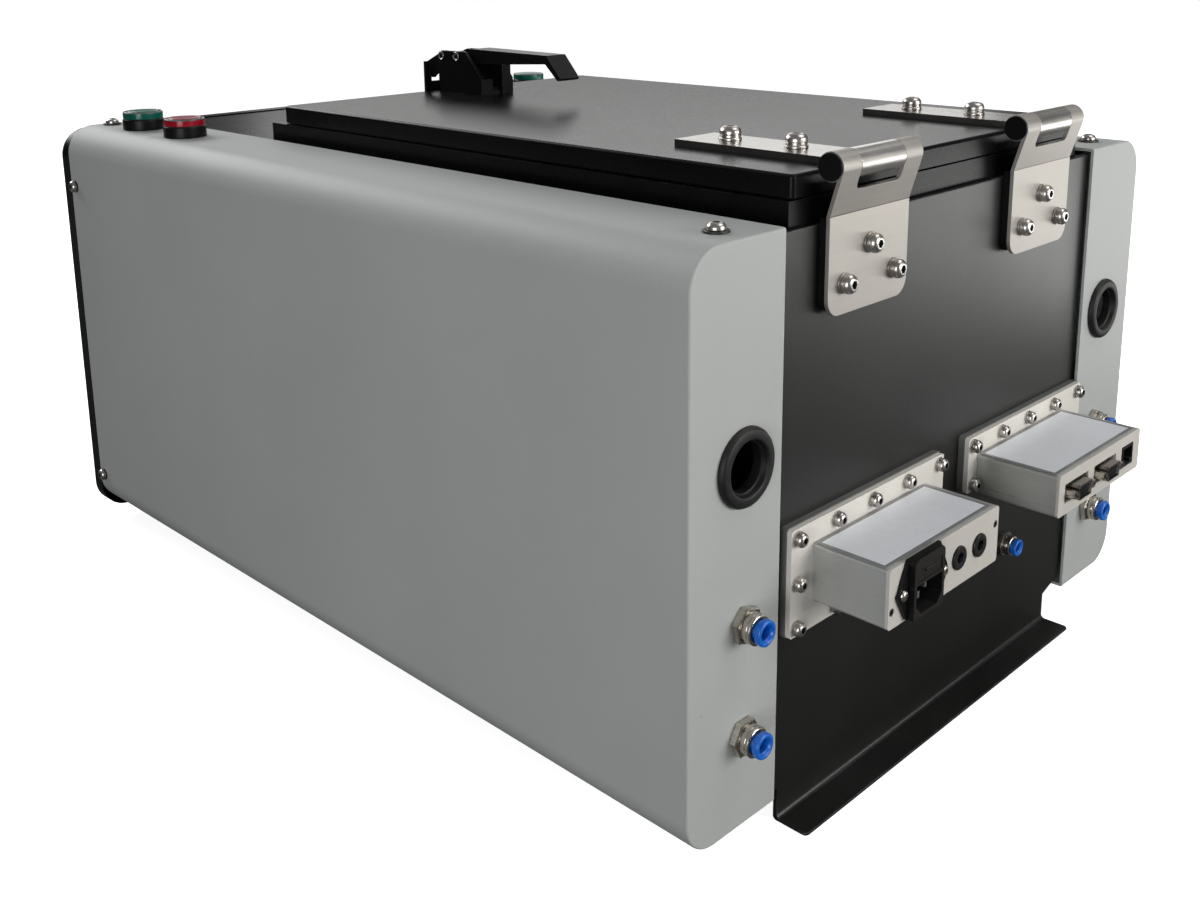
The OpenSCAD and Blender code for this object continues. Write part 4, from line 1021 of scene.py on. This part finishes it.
def buttonCap(node, sideTone, topTone):
    cap = painted(turned(camel(node), button["cap"], 64), paint[sideTone])
    secondTone(cap, paint[topTone], lambda c, n: c.z > button["faceFrom"])
    smoothEdges(cap, 0, 1, 50)
    spot = capSpots[node]
    return place(cap, (spot[0], spot[1], coverTop))


bezels = []
for node, spot in capSpots.items():
    bezel = buttonBezel("redLens" if node.startswith("stop") else "greenLens")
    bezels.append(place(bezel, (spot[0], spot[1], coverTop)))
finished(joined("buttonBezels", bezels), "base", "black_plastic", None, "button_bodies")
plainPiece("button_nuts", "base", "bare_steel", "bareSteelAndRivetHighlight", 0.3)
for node, colour in zip(capNodes, ("green", "red", "green")):
    # start_cap_right rides on start_button_right, and so on
    cap = buttonCap(node, colour + "Lens", colour + "Top")
    finished(cap, node.replace("cap", "button"), colour + "_cap", None, node)
print("buttons done")

# cable grommets
grommetRings = [(13.6, -5), (19.6, -5), (20.0, -4.6), (20.0, -2.5), (19.8, -2.05),
                (16.8, -2.05), (16.8, 0.02), (21.2, 0.02), (21.5, 0.5), (21.3, 2.0),
                (20.5, 3.3), (19.2, 3.95), (16.2, 4.0), (15.3, 3.7), (14.9, 3.0),
                (14.7, 1.2), (14.3, 0.7), (13.7, 0.5), (13.5, 0.1), (13.5, -4.8)]
grommet = smoothEdges(turned("grommet", grommetRings, 64, closed=True), 0, 1, 50)
finished(copiesOf(grommet, "cableGrommets", grommetSpots, "Y"), "base", "black_rubber",
         paint["rubber"], "cable_grommets")

# push-in tube fittings: hexagon, stepped collar and blue release ring
fitting = {
    "hex": [(7.0, 0), (10.3, 0), (10.97, 0.6), (10.97, 4.0), (10.3, 4.6), (7.0, 4.6)],
    "collar": [(6.2, -22), (7.3, -22), (7.5, -21.6), (7.5, 0.5), (8.0, 4.2), (8.0, 5.2),
               (8.5, 5.5), (8.5, 8.0), (8.2, 8.2), (8.2, 8.6), (8.5, 8.8), (8.5, 10.0),
               (8.1, 10.6), (7.4, 10.8), (5.8, 10.8), (5.6, 10.4), (5.6, 2.1), (3.2, 2.1),
               (3.2, -21)],
    "collet": [(4.1, 4.0), (5.5, 4.0), (5.5, 12.3), (6.7, 12.3), (7.1, 12.6),
               (7.25, 13.0), (7.25, 14.9), (7.0, 15.6), (6.4, 16.0), (5.5, 16.0),
               (4.9, 15.6), (4.7, 14.6), (4.1, 14.2)],
    "smallSize": 0.8, "shortBack": -8.7,
}


def fittingMaster(shortBack):
    rings = [(r, max(h, fitting["shortBack"]) if shortBack else h)
             for r, h in fitting["collar"]]
    nut = turned("hexagon", fitting["hex"], 6, closed=True)
    collar = turned("collar", rings, 48, closed=True)
    return smoothEdges(joined("fitting", [smoothEdges(nut, 0, 1, 20), collar]), 0, 1, 32)


bodies, longOne, shortOne = [], fittingMaster(False), fittingMaster(True)
collet = smoothEdges(turned("collet", fitting["collet"], 48, closed=True), 0, 1, 50)
for (node, spot), turn in zip(tubeSpots.items(), (0.2, 0.5, 0.1, 0.3, 0.45)):
    onPanel = node == "collet_panel"
    size = fitting["smallSize"] if onPanel else 1
    seat = (spot[0], rearY if onPanel else coverRear, spot[2])
    bodies.append(another(shortOne if onPanel else longOne, seat, "Y", turn, size))
    ring = another(collet, seat, "Y", 0, size)
    ring.name = camel(node)
    finished(ring, node, "blue_plastic", paint["bluePlastic"], node)
dropped(longOne, shortOne, collet)
finished(joined("fittingBodies", bodies), "base", "nickel", paint["nickel"],
         "fitting_bodies")
plainPiece("fitting_nuts", "base", "nickel", "nickel", 0.3)
print("grommets and fittings done")

# connector boxes: drawn housings, end plates and blank labels
boxRound = {"label": 1.2, "labelBorder": 2.3, "seamZ": 144.3, "seamHigh": 0.9,
            "seamDeep": 0.7}


def longEdges(node, width, trim):
    # a copy of the node with the four edges that run front to rear rounded
    low, high = mmBox(node)
    piece = mergedCopy(node)
    editMode()
    pickEdges(lambda a, b: along(a, b, 1) and abs(a.y - b.y) > trim
              and (near(a.x, low[0]) or near(a.x, high[0]))
              and (near(a.z, low[2]) or near(a.z, high[2])))
    bevelPicked(width, 4)
    objectMode()
    return piece


def seamGrooves(piece, node):
    # the box is drawn in two halves that meet in a fine groove on both sides
    low, high = mmBox(node)
    deep, z, half = boxRound["seamDeep"], boxRound["seamZ"], boxRound["seamHigh"] / 2
    for inner, outer in ((low[0] + deep, low[0] - 2), (high[0] - deep, high[0] + 2)):
        cut(piece, block("groove", (inner, low[1] - 2, z - half),
                         (outer, high[1] + 2, z + half)))
    return piece


boxParts = [
    # kind, corner rounding, shortest edge, edge rounding, slot, finish
    ("housing", 2.2, 20, 0.25, "aluminium_box", "boxSilver"),
    ("adapter", 2.6, 1, 0.5, "black_steel", "adapterGrey"),
    ("end_plate", 2.2, 1, 0.35, "white_plate", "endPlate"),
    ("plate", 2.2, 1, 0.4, "white_plate", "plateWhite"),
]
for kind, corner, trim, edge, slotName, finish in boxParts:
    for node in ("power_" + kind, "data_" + kind):
        piece = longEdges(node, corner, trim)
        if node == "data_housing":
            seamGrooves(piece, node)
        finished(smoothEdges(piece, edge), "base", slotName, paint[finish], node)


def blankLabel(node):
    low, high = mmBox(node)
    sheet = block(camel(node), low, high)
    editMode()
    pickFaces(lambda c, n: n.z > 0.9)
    bpy.ops.mesh.inset(thickness=boxRound["labelBorder"] / 1000)
    pickEdges(lambda a, b: along(a, b, 2) and not near(a.z, b.z))
    bevelPicked(boxRound["label"], 4)
    objectMode()
    # the sides and a band round the top are painted dark grey as painted shade of the gap
    # along the label's edge; the middle stays white
    painted(sheet, paint["labelEdge"])
    border = boxRound["labelBorder"]
    secondTone(sheet, paint["labelWhite"],
               lambda c, n: n.z > 0.9 and low[1] + border < c.y < high[1] - border
               and low[0] + border < c.x < high[0] - border)
    return sheet


for node in ("power_label", "data_label"):
    finished(blankLabel(node), "base", "label_white", None, node)
print("boxes done")

# connectors
plug = {"inletX": 115.282, "inletZ": 147.9, "faceY": rearY + 55, "earScrew": 20.0,
        "jackX": (76.082, 54.082), "endScrews": ((142.882, 140.4), (35.382, 154.3)),
        "dataY": rearY + 62, "dataZ": 151.7, "dsubX": (-53.146, -93.146), "post": 12.5,
        "socketX": -125.646, "inletHalf": 15, "inletRound": 4.0,
        # the inlet's blades, from its middle, and half their width and height
        "blades": ((-7, -4), (7, -4), (0, -8)), "bladeHalf": (1.1, 2.1),
        "insert": ((-8.3, -0.9, -4.0), (8.3, 5.1, 4.0)), "insertRound": 1.4,
        "pins": 9, "pinPitch": 1.38, "pinRow": 1.4, "pinHole": 0.62,
        "contacts": 8, "contactPitch": 1.02, "contactHalf": 0.18}


def mainsInlet():
    inlet = mergedCopy("mains_inlet")
    x, z, y = plug["inletX"], plug["inletZ"], plug["faceY"]
    high = mmBox("mains_inlet")[1]
    editMode()
    pickEdges(lambda a, b: along(a, b, 1) and near(a.z, high[2])
              and near(abs(a.x - x), plug["inletHalf"]) and abs(a.y - b.y) > 2)
    bevelPicked(plug["inletRound"], 5)
    objectMode()
    painted(smoothEdges(inlet, 0.35), paint["blackPlastic"])
    # the outermost front faces are drawn in a lighter black than the rest of the same plastic:
    # painted light; the socket further in stays darker as painted shade
    secondTone(inlet, paint["socketFace"], lambda c, n: n.y > 0.9 and c.y > y + 5)
    wide, tall = plug["bladeHalf"]
    secondTone(inlet, paint["bareSteelAndRivetHighlight"],
               lambda c, n: y - 13 < c.y < y - 0.5 and n.y > -0.5
               and any(abs(c.x - x - dx) < wide and abs(c.z - z - dz) < tall
                       for dx, dz in plug["blades"]))
    return inlet


def crossScrews():
    head = turned("crossHead", [(1.5, -4), (1.5, 0), (3.0, 0), (3.15, 0.4), (2.9, 1.1),
                                (2.2, 1.6), (1.0, 1.8)], 32)
    for size in ((0.4, 1.8), (1.8, 0.4)):
        cut(head, block("slot", (-size[0], -size[1], 1.0), (size[0], size[1], 3)))
    painted(smoothEdges(head, 0, 1, 35), paint["screwSteel"])
    spots = [(plug["inletX"] + dx, plug["faceY"] + 2, plug["inletZ"])
             for dx in (-plug["earScrew"], plug["earScrew"])]
    return copiesOf(head, "inletScrews", spots, "Y", 0.5)


def endPlateScrews():
    head = turned("smallHead", [(1.4, -3), (1.4, 0), (2.2, 0), (2.2, 0.5), (1.9, 0.8)], 24)
    cut(head, turned("hexSocket", [(1.1, 0.1), (1.1, 2)], 6))
    smoothEdges(head, 0, 1, 35)
    spots = [(x, plug["faceY"] - 0.95, z) for x, z in plug["endScrews"]]
    return copiesOf(head, "endPlateScrews", spots, "Y")


def jacks():
    rings = [(5.4, -12), (5.4, 0.02), (7.0, 0.02), (7.0, 0.9), (6.6, 1.4), (5.0, 1.6),
             (3.3, 1.3), (3.0, 0.7), (2.9, -10), (1.1, -10), (1.1, -0.9), (0.7, -0.5)]
    jack = painted(turned("jack", rings, 48), paint["blackPlastic"])
    # the jack's face is drawn lighter than its hole, both the same plastic: painted light on
    # the face, painted shade in the hole
    secondTone(jack, paint["socketFace"], lambda c, n: c.z > 0.5 and 3.2 < c.xy.length)
    secondTone(jack, paint["screwSteel"], lambda c, n: c.xy.length < 1.15 and c.z > -9)
    smoothEdges(jack, 0, 1, 40)
    spots = [(x, plug["faceY"], plug["inletZ"]) for x in plug["jackX"]]
    return copiesOf(jack, "lowVoltageJacks", spots, "Y")


def dsubShells():
    shells = painted(roundedCopy("dsub_connectors", 0.2), paint["socketShell"])
    # faces set back inside the cut-out are painted dark: painted shade in the recess
    secondTone(shells, paint["darkWasherAndRecessShade"],
               lambda c, n: c.y < plug["dataY"] - 1.9 and n.y > 0.5)
    posts = [x + side for x in plug["dsubX"] for side in (-plug["post"], plug["post"])]
    secondTone(shells, paint["nickel"], lambda c, n: c.y > plug["dataY"] - 2
               and min(abs(c.x - x) for x in posts) < 2.9)
    return shells


def dsubInserts():
    # one black insert with two rows of pin holes, then a copy for the other socket
    core = block("core", *plug["insert"])
    editMode()
    pickEdges(lambda a, b: along(a, b, 1))
    bevelPicked(plug["insertRound"], 3)
    objectMode()
    holes, radius = [], plug["pinHole"]
    for number in range(plug["pins"]):
        x = (number - (plug["pins"] - 1) / 2) * plug["pinPitch"]
        z = plug["pinRow"] * (-1 if number % 2 else 1)
        hole = turned("hole", [(radius, -1.2), (radius, 1.2)], 12)
        holes.append(place(hole, (x, 4.9, z), "Y"))
    cut(core, joined("holes", holes))
    smoothEdges(core, 0, 1, 30)
    spots = [(x, plug["dataY"], plug["dataZ"]) for x in plug["dsubX"]]
    return copiesOf(core, "dsubInserts", spots)


def networkSocket():
    socket = roundedCopy("network_socket", 0.2)
    x, y, z = plug["socketX"], plug["dataY"], plug["dataZ"]
    editMode()
    bpy.ops.mesh.select_all(action="SELECT")
    centre = (x / 1000, y / 1000, z / 1000)
    bpy.ops.transform.rotate(value=math.pi, orient_axis="Y", center_override=centre)
    objectMode()
    painted(socket, paint["blackPlastic"])
    parts, half = [socket], plug["contactHalf"]
    for number in range(plug["contacts"]):
        spot = x + (number - (plug["contacts"] - 1) / 2) * plug["contactPitch"]
        pin = block("contact", (spot - half, y - 11, z + 3.6), (spot + half, y - 2, z + 4.2))
        editMode()
        pickEdges(lambda a, b: along(a, b, 0) and a.z < z + 3.7)
        bevelPicked(0.15, 1)
        objectMode()
        parts.append(painted(pin, paint["contactGold"]))
    return joined("networkSocket", parts)


finished(mainsInlet(), "base", "black_plastic", None, "mains_inlet")
finished(crossScrews(), "base", "screw_steel", None)
finished(endPlateScrews(), "base", "black_plastic", paint["socketDark"])
# the drawer in the lighter black of the lit front faces: painted light
plainPiece("fuse_drawer", "fuse_drawer", "black_plastic", "socketFace", 0.3)
finished(jacks(), "base", "black_plastic", None, "low_voltage_jacks")
finished(dsubShells(), "base", "nickel", None, "dsub_connectors")
finished(dsubInserts(), "base", "black_plastic", paint["blackPlastic"])
finished(networkSocket(), "base", "black_plastic", None, "network_socket")
print("connectors done")
